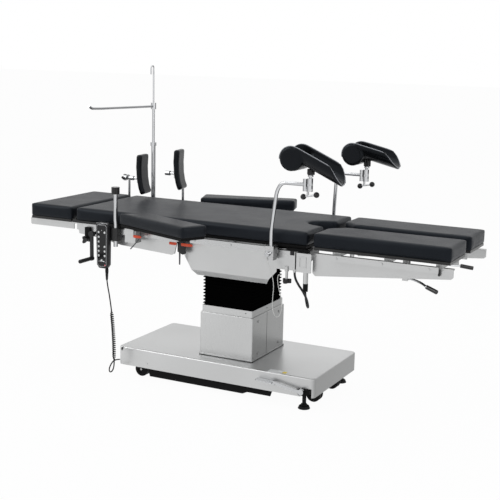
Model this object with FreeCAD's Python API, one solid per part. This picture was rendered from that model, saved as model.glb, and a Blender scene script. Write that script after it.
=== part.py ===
import FreeCAD, Part
import math
import os

# Operating table with its accessories. Origin on the floor under the middle of the base.
# +X runs to the foot end, -Y is the near long side, +Z is up. Millimetres.

V = FreeCAD.Vector

# Driving dimensions: table top
TOP_W = 520.0
HALF = TOP_W / 2
PAD_T = 60.0
PAD_TOP = 794.0
PAD_ROUND = 9.0
BOARD_T = 12.0
HEAD_OUT = -1006.0
HEAD_IN = -766.0
BACK_OUT = -741.0
SEAT_OUT = 457.0
LEG_IN = 482.0
LEG_OUT = 1083.0
LEG_GAP = 36.0
NOTCH_X = 351.0
NOTCH_W = 75.0
BOARD_EDGE = 4.0
RAIL_Y = HALF + 15
RAIL_T = 10.0
RAIL_H = 25.0
RAIL_TOP = 720.0
SHEET = 2.0

# Driving dimensions: base and column
BASE_L = 1014.0
BASE_W = 500.0
BASE_Z = 63.0
BASE_TOP = 150.0
BASE_WALL = 3.0
DECK_X = BASE_L / 2 - 27
DECK_Y = BASE_W / 2 - 14
COL_X = 26.0
COL_L = 272.0
COL_W = 334.0
COL_TOP = 387.0
COLLAR_L = 260.0
COLLAR_W = 322.0
COLLAR_H = 25.0
BELLOWS_L = 256.0
BELLOWS_W = 316.0
BELLOWS_TOP = 570.0
BELLOWS_PITCH = 18.3
BELLOWS_FOLD = 16.0
TUBE_L = 172.0
TUBE_W = 200.0
TUBE_WALL = 6.0
TUBE_GAP = 0.5
TUBE_TOP = 490.0
FRAME_Z = 100.0
FRAME_T = 6.0

# Driving dimensions: joints
TILT_Z = 640.0
PIN_R = 12.0
PIN_FIT = 0.05
BACK_X = -150.0
BACK_Z = 712.0
HEAD_X = -753.5
HEAD_Z = 728.0
LEG_X = 480.0
LEG_Z = 692.0
LEG_EYE_R = 10.0
LEG_AXLE_R = 6.0
SWING_X = 459.0
SWING_Y = HALF + 7.5
SWING_R = 7.0
HINGE_R = 7.0
CLEAR = 0.3

# Driving dimensions: running gear
WHEEL_R = 34.0
WHEEL_T = 15.0
WHEEL_GAP = 10.0
WHEEL_LIFT = 2.0
TRAIL = 20.0
CASTER_HEAD = (50 - DECK_X, DECK_Y - 56)
CASTER_FOOT = (DECK_X - 50, 105.0)
FOOT_HEAD = (50 - DECK_X, 90.0)
FOOT_FOOT = (DECK_X - 33, DECK_Y - 23)
FOOT_R = 27.5

BOARD_TOP = PAD_TOP - PAD_T
BOARD_Z = BOARD_TOP - BOARD_T


def box(x0, x1, y0, y1, z0, z1):
    """Plain block between two corners."""
    return Part.makeBox(x1 - x0, y1 - y0, z1 - z0, V(x0, y0, z0))


def rod(axis, r, a, b, u, v):
    """Round bar along an axis from a to b. u and v are its place across, in the order x, y, z."""
    start = {"x": V(a, u, v), "y": V(u, a, v), "z": V(u, v, a)}[axis]
    way = {"x": V(1, 0, 0), "y": V(0, 1, 0), "z": V(0, 0, 1)}[axis]
    return Part.makeCylinder(r, b - a, start, way)


def plane_box(x0, x1, s, y0, y1, z0, z1):
    """Block on one long side: y0 and y1 are distances from the middle, s is the side."""
    return box(x0, x1, min(s * y0, s * y1), max(s * y0, s * y1), z0, z1)


def cross(r, s, y0, y1, x, z):
    """Round bar across the table on one long side, between two distances from the middle."""
    return rod("y", r, min(s * y0, s * y1), max(s * y0, s * y1), x, z)


def side_plate(points, s, y0, y1):
    """Upright plate on an xz outline on one long side."""
    return poly(points, "y", min(s * y0, s * y1), max(s * y0, s * y1))


def bar(p, q, r):
    """Round bar between two points."""
    a = V(*p)
    d = V(*q) - a
    return Part.makeCylinder(r, d.Length, a, d)


def poly(points, axis, a, b):
    """Straight prism on an outline: xz points along y, yz points along x, xy points along z."""
    place = {
        "y": lambda s, t: V(s, a, t),
        "x": lambda s, t: V(a, s, t),
        "z": lambda s, t: V(s, t, a),
    }[axis]
    way = {"x": V(b - a, 0, 0), "y": V(0, b - a, 0), "z": V(0, 0, b - a)}[axis]
    pts = [place(s, t) for s, t in points]
    wire = Part.makePolygon(pts + [pts[0]])
    return Part.Face(wire).extrude(way)


def soften(shape, r, test):
    """Fillet the edges that pass the test."""
    edges = [e for e in shape.Edges if test(e)]
    return shape.makeFillet(r, edges) if edges else shape


def along(e, axis):
    """True where an edge is straight and runs along one axis."""
    if not isinstance(e.Curve, Part.Line):
        return False
    d = e.Curve.Direction
    return abs(getattr(d, axis)) > 0.999


def slab(x0, x1, y0, y1, z0, z1, r):
    """Block whose upright edges are rounded."""
    return soften(box(x0, x1, y0, y1, z0, z1), r, lambda e: along(e, "z"))


def mid_z(e):
    """Height of an edge's middle."""
    return e.CenterOfMass.z


def fuse(first, *rest):
    """One solid from touching shapes."""
    return first.fuse(list(rest)).removeSplitter() if rest else first


def group(*shapes):
    """Several separate solids in one node."""
    return Part.makeCompound(list(shapes))


def turned(shape, centre, way, degrees):
    """A copy turned about a line."""
    out = shape.copy()
    out.rotate(V(*centre), V(*way), degrees)
    return out


def route(points, radii=None):
    """Path of straight runs joined by tangent arcs. Returns the wire and the radii."""
    pts = [V(*p) for p in points]
    edges = []
    used = []
    at = pts[0]
    for i in range(1, len(pts) - 1):
        a = pts[i - 1] - pts[i]
        b = pts[i + 1] - pts[i]
        turn = math.pi - a.getAngle(b)
        short = min(a.Length, b.Length)
        r = 0.45 * short / math.tan(turn / 2) if radii is None else radii
        used.append(r)
        cut = r * math.tan(turn / 2)
        a.normalize()
        b.normalize()
        mid = a + b
        mid.normalize()
        s = pts[i] + a * cut
        e = pts[i] + b * cut
        m = pts[i] + mid * (r / math.cos(turn / 2) - r)
        if (s - at).Length > 0.001:
            edges.append(Part.LineSegment(at, s).toShape())
        edges.append(Part.Arc(s, m, e).toShape())
        at = e
    if (pts[-1] - at).Length > 0.001:
        edges.append(Part.LineSegment(at, pts[-1]).toShape())
    return Part.Wire(edges), used


def pipe(points, r, radii=None):
    """Round bar or cord along a route."""
    wire, used = route(points, radii)
    first = wire.Edges[0]
    start = first.valueAt(first.FirstParameter)
    way = first.tangentAt(first.FirstParameter)
    ring = Part.Wire([Part.Circle(start, way, r).toShape()])
    return wire.makePipeShell([ring], True, True), used, wire.Length


def knob(x, y, z, way, r=21.0, depth=12.0):
    """Three-lobed clamping knob. way points from the clamp to the knob."""
    hub = Part.makeCylinder(r * 0.55, depth, V(0, 0, 0))
    for i in range(3):
        a = math.radians(120 * i + 30)
        lobe = Part.makeCylinder(r * 0.42, depth, V(r * 0.6 * math.cos(a), r * 0.6 * math.sin(a), 0))
        hub = hub.fuse(lobe)
    hub = hub.removeSplitter()
    turn = FreeCAD.Rotation(V(0, 0, 1), V(*way))
    hub.Placement = FreeCAD.Placement(V(x, y, z), turn)
    return hub


def pad(outline, z0=BOARD_TOP, z1=PAD_TOP):
    """Cushion on an outline with rounded upright and top edges."""
    body = poly(outline, "z", z0, z1)
    body = soften(body, PAD_ROUND, lambda e: along(e, "z"))
    return soften(body, PAD_ROUND / 2, lambda e: abs(mid_z(e) - z1) < 0.01)


def save(name, shape):
    """Write one node."""
    bad = [s for s in shape.Solids if not s.isValid()]
    if bad or not shape.Solids:
        print("problem in", name, len(shape.Solids), "solids")
    shape.exportStep("parts/" + name + ".step")


def base_cover():
    """Sheet steel shell over the base, open below, with an opening for the column tube."""
    hx = BASE_L / 2
    hy = BASE_W / 2
    w = BASE_WALL
    out = slab(-hx, hx, -hy, hy, BASE_Z, BASE_TOP, 22)
    out = soften(out, 6, lambda e: abs(mid_z(e) - BASE_TOP) < 0.01)
    inner = slab(-hx + w, hx - w, -hy + w, hy - w, BASE_Z - 1, BASE_TOP - w, 22 - w)
    hole_l = TUBE_L / 2 + CLEAR + 4
    hole_w = TUBE_W / 2 + CLEAR + 4
    hole = box(COL_X - hole_l, COL_X + hole_l, -hole_w, hole_w, BASE_Z, BASE_TOP + 1)
    plug = rod("y", 4, -hy - 2, -hy + w, -347, 86)
    lead = rod("x", 5, -hx - 5, -hx + w, -240, 80)
    pedal = box(PEDAL_X - 12, PEDAL_X + 40, -hy - 1, -hy + 2 * w, BASE_Z - 1, FRAME_Z + 3)
    return out.cut([inner, hole, lead, pedal]).fuse(plug).removeSplitter()


def base_frame():
    """Welded frame: deck plate, two long channels and cross pieces for the casters and feet."""
    z = FRAME_Z
    deck = box(-DECK_X, DECK_X, -DECK_Y, DECK_Y, z, z + FRAME_T)
    parts = []
    for s in (-1, 1):
        low = 22
        web = side_plate([(118 - DECK_X, z), (140 - DECK_X, low), (152, low), (176, low + 11), (DECK_X - 190, low + 11),
                          (DECK_X - 168, z)], s, DECK_Y - 7, DECK_Y - 1)
        foot = plane_box(144 - DECK_X, 150, s, DECK_Y - 31, DECK_Y - 7, low, low + 6)
        parts += [web, foot]
    for x in (-300, 100):
        parts.append(box(x, x + 40, 7 - DECK_Y, DECK_Y - 7, z - 40, z))
    wall = BASE_W / 2 - BASE_WALL
    roof = BASE_TOP - BASE_WALL
    for x in (-DECK_X, DECK_X - 60):
        block = box(x, x + 60, -wall, wall, z + FRAME_T, roof)
        parts.append(block.cut(box(x + 10, x + 50, 10 - wall, wall - 10, z + FRAME_T, roof - 4)))
    return fuse(deck, *parts)


def column_cover():
    """Folded steel box round the lower column, with a stepped collar under the bellows."""
    x = COL_X
    hx = COL_L / 2
    hy = COL_W / 2
    w = BASE_WALL
    shoulder = COL_TOP - COLLAR_H - 6
    body = slab(x - hx, x + hx, -hy, hy, BASE_TOP, shoulder, 6)
    body = soften(body, 4, lambda e: abs(mid_z(e) - shoulder) < 0.01)
    collar = slab(x - COLLAR_L / 2, x + COLLAR_L / 2, -COLLAR_W / 2, COLLAR_W / 2, shoulder - 1, COL_TOP, 6)
    inner = box(x - hx + w, x + hx - w, -hy + w, hy - w, BASE_TOP - 1, shoulder - 4)
    in_l = COLLAR_L / 2 - w
    in_w = COLLAR_W / 2 - w
    neck = box(x - in_l, x + in_l, -in_w, in_w, shoulder - 5, COL_TOP + 1)
    return body.fuse(collar).cut([inner, neck]).removeSplitter()


def column_screws():
    """Dome screws that hold the column cover, on both end faces."""
    hx = COL_L / 2
    out = []
    for y in (-110, 110):
        for z in (180, 330):
            out.append(rod("x", 5, COL_X + hx, COL_X + hx + 3, y, z))
            out.append(rod("x", 5, COL_X - hx - 3, COL_X - hx, y, z))
    return group(*out)


def bellows():
    """Folded rubber sleeve between the column cover and the column head."""
    n = round((BELLOWS_TOP - COL_TOP) / BELLOWS_PITCH)
    step = (BELLOWS_TOP - COL_TOP) / n

    def ring(inset, z):
        """Outline of the sleeve at a height."""
        hx = BELLOWS_L / 2 - inset
        hy = BELLOWS_W / 2 - inset
        x = COL_X
        pts = [V(x - hx, -hy, z), V(x + hx, -hy, z), V(x + hx, hy, z), V(x - hx, hy, z)]
        return Part.makePolygon(pts + [pts[0]])

    rings = []
    for i in range(n):
        rings.append(ring(BELLOWS_FOLD, COL_TOP + i * step))
        rings.append(ring(0, COL_TOP + (i + 0.5) * step))
    rings.append(ring(BELLOWS_FOLD, BELLOWS_TOP))
    body = Part.makeLoft(rings, True, True)
    in_l = BELLOWS_L / 2 - BELLOWS_FOLD - SHEET
    in_w = BELLOWS_W / 2 - BELLOWS_FOLD - SHEET
    return body.cut(box(COL_X - in_l, COL_X + in_l, -in_w, in_w, COL_TOP - 1, BELLOWS_TOP + 1))


def lift_tube():
    """Outer square tube of the lifting column, welded to the deck plate."""
    x = COL_X
    hx = TUBE_L / 2
    hy = TUBE_W / 2
    w = TUBE_WALL
    z0 = FRAME_Z + FRAME_T
    out = slab(x - hx, x + hx, -hy, hy, z0, TUBE_TOP, 8)
    return out.cut(box(x - hx + w, x + hx - w, -hy + w, hy - w, z0 - 1, TUBE_TOP + 1))


def lift_column():
    """Inner tube that slides in the outer one."""
    x = COL_X
    hx = TUBE_L / 2 - TUBE_WALL - TUBE_GAP
    hy = TUBE_W / 2 - TUBE_WALL - TUBE_GAP
    out = box(x - hx, x + hx, -hy, hy, 185, BELLOWS_TOP)
    return out.cut(box(x - hx + 8, x + hx - 8, -hy + 8, hy - 8, 184, BELLOWS_TOP - 8))


def column_head():
    """Head plate with two lugs that carry the tilt pins."""
    x = COL_X
    plate = slab(x - 116, x + 116, -150, 150, BELLOWS_TOP, BELLOWS_TOP + 10, 10)
    shape = plate
    for s in (-1, 1):
        a = min(s * 92, s * 112)
        b = max(s * 92, s * 112)
        lug = box(x - 28, x + 28, a, b, BELLOWS_TOP + 10, TILT_Z)
        eye = rod("y", 28, a, b, x, TILT_Z)
        shape = shape.fuse([lug, eye])
    hole = rod("y", PIN_R + PIN_FIT, -120, 120, x, TILT_Z)
    return shape.cut(hole).removeSplitter()


def tilt_cross():
    """Cardan cross: one pin across the table and one along it."""
    x = COL_X
    body = box(x - 52, x + 52, -80, 80, TILT_Z - 18, TILT_Z + 18)
    body = soften(body, 8, lambda e: along(e, "z"))
    across = rod("y", PIN_R, -114, 114, x, TILT_Z)
    lengthwise = rod("x", PIN_R, x - 82, x + 82, 0, TILT_Z)
    return fuse(body, across, lengthwise)


def caster_fork(px, py, way):
    """Swivel fork of a twin-wheel caster: stem, hood between the wheels and axle."""
    ax = px + way * TRAIL
    az = WHEEL_LIFT + WHEEL_R
    stem = rod("z", 8, az + 30, FRAME_Z - CLEAR, px, py)
    plate = rod("z", 20, FRAME_Z - 12, FRAME_Z - CLEAR, px, py)
    low = min(px, ax) - 10
    high = max(px, ax) + 10
    hood = box(low, high, py - WHEEL_GAP / 2 + 0.5, py + WHEEL_GAP / 2 - 0.5, az - 10, az + 42)
    axle = rod("y", 5, py - WHEEL_GAP / 2 - WHEEL_T - 2, py + WHEEL_GAP / 2 + WHEEL_T + 2, ax, az)
    return fuse(stem, plate, hood, axle)


def caster_wheel(px, py, way):
    """Pair of wheels on one hub, with a groove beside each tread."""
    ax = px + way * TRAIL
    az = WHEEL_LIFT + WHEEL_R
    discs = []
    for s in (-1, 1):
        a = py + s * WHEEL_GAP / 2
        b = a + s * WHEEL_T
        disc = rod("y", WHEEL_R, min(a, b), max(a, b), ax, az)
        disc = soften(disc, 3, lambda e: isinstance(e.Curve, Part.Circle))
        dish = rod("y", WHEEL_R * 0.6, min(b, b - s * 3), max(b, b - s * 3), ax, az)
        discs.append(disc.cut([dish, rod("y", 5.05, py - 40, py + 40, ax, az)]))
    return group(*discs)


def level_foot(px, py):
    """Rubber foot plate on a threaded stem."""
    disc = Part.makeCone(FOOT_R, FOOT_R - 5, 12, V(px, py, 0))
    neck = rod("z", 14, 12, 20, px, py)
    stem = rod("z", 9, 20, FRAME_Z, px, py)
    nut = rod("z", 16, FRAME_Z - 14, FRAME_Z, px, py)
    return fuse(disc, neck, stem, nut)


def feet():
    """Four feet that carry the table when it is parked."""
    out = []
    for x, y in (FOOT_HEAD, FOOT_FOOT):
        out += [level_foot(x, y), level_foot(x, -y)]
    return group(*out)


PEDAL_X = DECK_X - 25
PEDAL_Z = FRAME_Z - 8
PEDAL_R = 8.0


def pedal_bracket():
    """Bracket of the brake pedal, fixed under the deck plate."""
    y0 = -BASE_W / 2 - 12
    y1 = y0 + 5
    x = PEDAL_X
    z = PEDAL_Z
    side = poly([(x - 25, z + 8), (x + 37, z + 8), (x + 37, z - 8), (x + 13, z - 20), (x - 15, z - 20), (x - 25, z - 8)],
                "y", y0, y1)
    side = side.cut(rod("y", PEDAL_R + PIN_FIT, y0 - 1, y1 + 1, PEDAL_X, PEDAL_Z))
    arm = box(PEDAL_X + 17, PEDAL_X + 37, y1, -DECK_Y, FRAME_Z - 12, FRAME_Z)
    return fuse(side, arm.cut(box(PEDAL_X + 16, PEDAL_X + 38, y1 + 1, 10 - DECK_Y - 20, FRAME_Z - 1, FRAME_Z + 1)))


def brake_pedal():
    """Chromed pedal: foot plate, bar and boss on its shaft."""
    y = -BASE_W / 2 - 22
    boss = rod("y", 13, y - 6, y + 9, PEDAL_X, PEDAL_Z)
    shaft = rod("y", PEDAL_R, y - 6, 6 - BASE_W / 2, PEDAL_X, PEDAL_Z)
    x = PEDAL_X
    z = PEDAL_Z
    arm = poly([(x - 10, z - 8), (x - 10, z + 6), (x - 145, z + 30), (x - 145, z + 20)], "y", y - 4, y + 4)
    plate = slab(x - 217, x - 137, y - 16, y + 20, z + 20, z + 25, 8)
    plate = turned(plate, (x - 177, y, z + 23), (0, 1, 0), 4)
    link = poly([(x - 155, z + 16), (x - 125, z + 11), (x - 125, z + 24), (x - 155, z + 28)], "y", y - 4, y + 4)
    return fuse(boss, shaft, arm, link, plate)


SKIRT_Y = HALF - 25
BEAM_Y = HALF - 60
SEAT_L = -120.0
SEAT_R = 385.0
V_TOP = 66.0
V_LOW = 12.0
BOARD_V = 20.0
JOINT_Y = HALF + 5
EAR_Y = HALF - 38
PLATE_Y = HALF - 14
CHEEK_Y = HALF - 10


def seat_frame():
    """Two channels, cross pieces and the two lugs that hang on the long tilt pin."""
    z1 = BOARD_Z
    z0 = 686.0
    parts = []
    for s in (-1, 1):
        beam = plane_box(SEAT_L, SEAT_R, s, BEAM_Y, SKIRT_Y - SHEET, z0, z1)
        hollow = plane_box(SEAT_L - 1, SEAT_R + 1, s, BEAM_Y - 1, SKIRT_Y - 6, z0 + 4, z1 - 4)
        parts.append(beam.cut(hollow))
    for x in (SEAT_L, COL_X - 90, COL_X + 60, 290):
        parts.append(box(x, x + 30, -BEAM_Y - 20, BEAM_Y + 20, z0 + 4, z1 - 4))
    for s in (-1, 1):
        x0 = COL_X + s * 58
        x1 = COL_X + s * 74
        a = min(x0, x1)
        b = max(x0, x1)
        lug = box(a, b, -22, 22, TILT_Z, z0 + 6).fuse(rod("x", 22, a, b, 0, TILT_Z))
        parts.append(lug.cut(rod("x", PIN_R + PIN_FIT, a - 1, b + 1, 0, TILT_Z)))
    shape = fuse(parts[0], *parts[1:])
    for s in (-1, 1):
        ear = plane_box(BACK_X - 14, SEAT_L, s, EAR_Y, EAR_Y + 10, BACK_Z - 14, z1)
        eye = cross(10, s, EAR_Y, EAR_Y + 10, BACK_X, BACK_Z)
        ear = ear.cut(box(BACK_X - 15, BACK_X, -HALF, HALF, BACK_Z - 20, z1 + 1)).fuse(eye)
        shape = shape.fuse(ear)
        bore = cross(HINGE_R + PIN_FIT, s, EAR_Y - 7, EAR_Y + 14, BACK_X, BACK_Z)
        shape = shape.cut(bore)
    return shape.removeSplitter()


def skirt_side(s):
    """One side sheet of the seat housing, with its lower band bent inwards."""
    z = (BOARD_Z - 1, 563.0, 538.0)
    y = SKIRT_Y
    low = y - 20
    yz = [(y, z[0]), (y, z[1]), (low, z[2]), (low - SHEET, z[2]), (y - SHEET, z[1] + 0.8), (y - SHEET, z[0])]
    sheet = poly([(s * a, b) for a, b in yz], "x", -230, 330)
    xz = [(-166, 716), (-205, 706), (-165, 638), (-120, 563), (-100, 538), (250, 538), (266, 561), (305, 603),
          (305, 722), (-134, 722), (-134, 716)]
    sheet = sheet.common(poly(xz, "y", -HALF, HALF))
    gap = box(BACK_X - 16, BACK_X + 16, -HALF, HALF, BACK_Z - 14, 722)
    return sheet.cut(gap)


def skirt():
    """Sheet steel housing under the seat: two sides joined by end strips under the frame."""
    shape = skirt_side(1).fuse(skirt_side(-1))
    y = SKIRT_Y - SHEET
    strips = [box(-90, -60, -y, y, 684, 686), box(250, 280, -y, y, 684, 686)]
    shape = shape.fuse(strips)
    for x in (-75, 265):
        for s in (-1, 1):
            shape = shape.fuse(plane_box(x - 15, x + 15, s, y - 30, y, 682, 686))
    return shape.removeSplitter()


def seat_outline(edge, x0):
    """Plan of the seat cushion or board: straight sides and a rounded notch at the foot end."""
    h = HALF - edge
    n = NOTCH_W + edge
    x1 = SEAT_OUT - edge
    tip = NOTCH_X - edge
    return [(x0, -h), (x1, -h), (x1, -n), (tip + 26, -42 - edge / 2), (tip + 6, -22),
            (tip, 0), (tip + 6, 22), (tip + 26, 42 + edge / 2), (x1, n), (x1, h), (x0, h)]


def wedge(low, high):
    """Room over the back hinge, open upwards, so that the back can rise."""
    x = BACK_X
    pts = [(x - low, BOARD_Z - 1), (x + low, BOARD_Z - 1), (x + high, PAD_TOP + 1), (x - high, PAD_TOP + 1)]
    return poly(pts, "y", -HALF - 60, HALF + 60)


def seat_board():
    """Board under the seat cushion."""
    body = poly(seat_outline(BOARD_EDGE, BACK_X + BOARD_V), "z", BOARD_Z, BOARD_TOP)
    return body


def seat_cushion():
    """Seat cushion with the perineal notch."""
    body = poly(seat_outline(0, BACK_X), "z", BOARD_TOP, PAD_TOP)
    body = soften(body, PAD_ROUND, lambda e: along(e, "z") and e.CenterOfMass.x > SEAT_OUT - 20)
    return body.cut(wedge(V_LOW, V_TOP))


def rail(x0, x1, s, top, stands, inner):
    """Side rail of flat bar on round standoffs."""
    out = RAIL_Y + RAIL_T
    shape = plane_box(x0, x1, s, RAIL_Y, out, top - RAIL_H, top)
    shape = soften(shape, 3, lambda e: along(e, "y"))
    for x in stands:
        shape = shape.fuse(cross(8, s, inner, RAIL_Y, x, top - RAIL_H / 2))
        shape = shape.fuse(cross(6, s, out, out + 3, x, top - RAIL_H / 2))
    return shape.removeSplitter()


GLAND_X = 402.0
GLAND_Z = 616.0
KNOB_X = 368.0
KNOB_Z = 584.0


def joint_cover(s):
    """Pressed cover over the leg joint, closed on its outer side and open towards the leg."""
    pts = [(295, 707), (295, 640), (311, 624), (397, 624), (413, 640), (413, 707)]
    face = side_plate(pts, s, JOINT_Y - SHEET, JOINT_Y)
    lid = plane_box(295, 413, s, SKIRT_Y, JOINT_Y, 705, 707)
    end = plane_box(295, 297, s, SKIRT_Y, JOINT_Y, 640, 706)
    gland = rod("z", 6.5, GLAND_Z, GLAND_Z + 16, GLAND_X, s * (JOINT_Y - 8))
    gland = gland.fuse(plane_box(GLAND_X - 6, GLAND_X + 7, s, JOINT_Y - 7, JOINT_Y - 1, GLAND_Z + 9, GLAND_Z + 24))
    boss = rod("z", 9, 618, 640, KNOB_X, s * (JOINT_Y - 1))
    boss = boss.fuse(rod("z", 6, KNOB_Z, 618, KNOB_X, s * (JOINT_Y - 1)))
    return fuse(face, lid, end, boss, gland) if s < 0 else fuse(face, lid, end, boss)


def swing_bracket(s):
    """Bracket of the seat that holds a leg's swing pin from above, with the pin."""
    arm = plane_box(365, SWING_X, s, BEAM_Y, SWING_Y, 709, BOARD_Z - 1)
    eye = rod("z", 11, 709, BOARD_Z - 1, SWING_X, s * SWING_Y)
    brace = plane_box(365, SWING_X - 40, s, BEAM_Y, SKIRT_Y - 4, 690, 710)
    pin = rod("z", SWING_R, 545, 712, SWING_X, s * SWING_Y)
    cap = rod("z", 11, 541, 575, SWING_X, s * SWING_Y)
    return fuse(arm, eye, brace, pin, cap)


def leg_hub(s):
    """Swing block of one leg: barrel on the pin, window plate and the drop hinge's axle."""
    y0 = SWING_Y + 11
    y1 = y0 + 3
    barrel = rod("z", 10.5, 575 + CLEAR, 706, SWING_X, s * SWING_Y)
    plate = plane_box(420, 488, s, y0, y1, 624, 707)
    plate = soften(plate, 4, lambda e: along(e, "y"))
    rim = plane_box(432, 465, s, y1, y1 + 2, 644, 692).cut(plane_box(436, 461, s, y1 - 1, y1 + 3, 648, 688))
    web = plane_box(452, 466, s, SWING_Y, y0, 628, 703)
    axle = cross(LEG_AXLE_R, s, CHEEK_Y - 7, y0, LEG_X, LEG_Z)
    head = cross(9, s, CHEEK_Y - 7, CHEEK_Y - 2, LEG_X, LEG_Z)
    shape = fuse(barrel, plate, rim, web, axle, head)
    return shape.cut(rod("z", SWING_R + PIN_FIT, 570, 720, SWING_X, s * SWING_Y))


def leg_frame(s):
    """Leg plate: board, tapered side cheeks, cross pieces and the boss on the swing pin."""
    x0 = LEG_IN + 2
    x1 = LEG_OUT + 10
    y0 = CHEEK_Y
    y1 = CHEEK_Y + 6
    outer = [(x0, 708), (x0, 622), (x0 + 12, 610), (x1 - 8, 665), (x1, 672), (x1, 708)]
    cheek = side_plate(outer, s, y0, y1)
    flange = plane_box(x0, x1, s, y0 - 14, y1, 702, 708)
    runner = plane_box(560, LEG_OUT - 23, s, LEG_GAP + 24, LEG_GAP + 30, 690, BOARD_Z)
    parts = [cheek, flange, runner]
    for x in (580, 800, LEG_OUT - 63):
        parts.append(plane_box(x, x + 30, s, LEG_GAP + 26, y0 + 2, 706, BOARD_Z))
    parts.append(cross(LEG_EYE_R, s, y0, y1, LEG_X, LEG_Z))
    parts.append(plane_box(LEG_X, 490, s, y0, y1, LEG_Z - LEG_EYE_R, LEG_Z + LEG_EYE_R))
    shape = fuse(parts[0], *parts[1:])
    return shape.cut(cross(LEG_AXLE_R + PIN_FIT, s, y0 - 1, y1 + 1, LEG_X, LEG_Z))


def leg_outline(s, edge):
    """Plan of a leg cushion or board with its cut inner corner."""
    x0 = LEG_IN + edge
    x1 = LEG_OUT - edge
    h = HALF - edge
    g = LEG_GAP + edge
    pts = [(x0, h), (x1, h), (x1, g), (555 + edge, g), (x0, 100)]
    return [(x, s * y) for x, y in pts]


def leg_board(s):
    """Board under a leg cushion."""
    return poly(leg_outline(s, BOARD_EDGE), "z", BOARD_Z, BOARD_TOP)


LEVER_X = LEG_OUT - 203
LEVER_Y = HALF - 60
LEVER_Z = 640.0


def leg_lever(s):
    """Release lever under the foot end of a leg plate, turning on the pin of its ears."""
    y = s * LEVER_Y
    x = LEVER_X
    z = LEVER_Z
    out = s * 50
    shape, used, length = pipe([(x, y, z), (x + 60, y, z - 12), (x + 110, y + out, z - 20),
                                (x + 138, y + 1.28 * out, z - 26)], 5)
    pivot = cross(9, s, LEVER_Y - 8, LEVER_Y + 8, x, z)
    grip = bar((x + 104, y + 0.92 * out, z - 19), (x + 154, y + 1.44 * out, z - 29), 9)
    bore = cross(4 + PIN_FIT, s, LEVER_Y - 20, LEVER_Y + 20, x, z)
    return fuse(shape, pivot, grip).cut(bore)


def lever_ears(s):
    """Ears under the leg board that carry the release lever, with their pin."""
    parts = []
    for a in (LEVER_Y - 14, LEVER_Y + 9):
        parts.append(plane_box(LEVER_X - 12, LEVER_X + 12, s, a, a + 5, LEVER_Z - 12, BOARD_Z))
    pin = cross(4, s, LEVER_Y - 14, LEVER_Y + 14, LEVER_X, LEVER_Z)
    return parts + [pin]


def back_plate(s):
    """Cranked side plate of the back section."""
    pts = [(-739, 726), (-739, 690), (-728, 688), (-726, 672), (-626, 663), (-487, 640), (-215, 623), (-200, 630),
           (-186, 690), (-136, 700), (-136, 720), (-215, 720), (-221, 726)]
    lo = PLATE_Y
    hi = PLATE_Y + 6
    plate = side_plate(pts, s, lo, hi)
    eye = cross(12, s, lo, hi, HEAD_X, HEAD_Z)
    neck = plane_box(HEAD_X, -735, s, lo, hi, 717, BOARD_TOP - 1)
    boss = cross(9.5, s, lo, hi, BACK_X, BACK_Z)
    return fuse(plate, eye, neck, boss)


def back_frame():
    """Back section: side plates, cross pieces and both hinge pins."""
    parts = []
    for s in (-1, 1):
        parts.append(back_plate(s))
        parts.append(cross(6, s, EAR_Y - 8, PLATE_Y + 6, HEAD_X, HEAD_Z))
        parts.append(cross(HINGE_R, s, EAR_Y - 12, PLATE_Y + 6, BACK_X, BACK_Z))
    for x in (-700, -520, -400, -245):
        parts.append(box(x, x + 30, -PLATE_Y - 2, PLATE_Y + 2, 694, BOARD_Z))
    for s in (-1, 1):
        parts.append(plane_box(-700, -215, s, HALF - 110, HALF - 90, 698, BOARD_Z))
    return fuse(parts[0], *parts[1:])


def back_board():
    """Board under the back cushion."""
    h = HALF - BOARD_EDGE
    return box(BACK_OUT + BOARD_EDGE, BACK_X - BOARD_V, -h, h, BOARD_Z, BOARD_TOP)


def back_cushion():
    """Back cushion, cut to a slope over the back hinge."""
    body = box(BACK_OUT, BACK_X, -HALF, HALF, BOARD_TOP, PAD_TOP)
    body = soften(body, PAD_ROUND, lambda e: along(e, "z") and e.CenterOfMass.x < BACK_OUT + 5)
    return body.cut(wedge(V_LOW, V_TOP))


def head_frame():
    """Head section: deep side plates, cross pieces and the eyes on the head pins."""
    parts = []
    for s in (-1, 1):
        lo = EAR_Y
        hi = EAR_Y + 6
        x = HEAD_OUT - 24
        plate = side_plate([(x + 6, 722), (x, 716), (x, 689), (x + 6, 685), (-774, 685), (-774, 722)], s, lo, hi)
        neck = plane_box(-776, HEAD_X, s, lo, hi, 716, BOARD_TOP)
        eye = cross(11, s, lo, hi, HEAD_X, HEAD_Z)
        parts += [plate, neck, eye]
    for x in (HEAD_OUT - 14, -820):
        parts.append(box(x, x + 24, -EAR_Y - 3, EAR_Y + 3, 702, BOARD_Z))
    shape = fuse(parts[0], *parts[1:])
    for s in (-1, 1):
        shape = shape.cut(cross(6 + PIN_FIT, s, EAR_Y - 1, EAR_Y + 7, HEAD_X, HEAD_Z))
    return shape


CRANK_X = -585.0
CRANK_Z = 697.0
CRANK_Y = -RAIL_Y - 75
CRANK_ARM = 114.0
POST_X = -488.0
POST_Y = -RAIL_Y - 23
SCREEN_X = -658.0
SCREEN_Y = RAIL_Y + 21
ARM_TOP = 807.0
ARM_PAD = 50.0
ARM_BOARD = 12.0
CRUTCH_Y = RAIL_Y + 21
SET_Y = -RAIL_Y - 28
SIDE_SHIFT = HALF - 260.0


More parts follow.
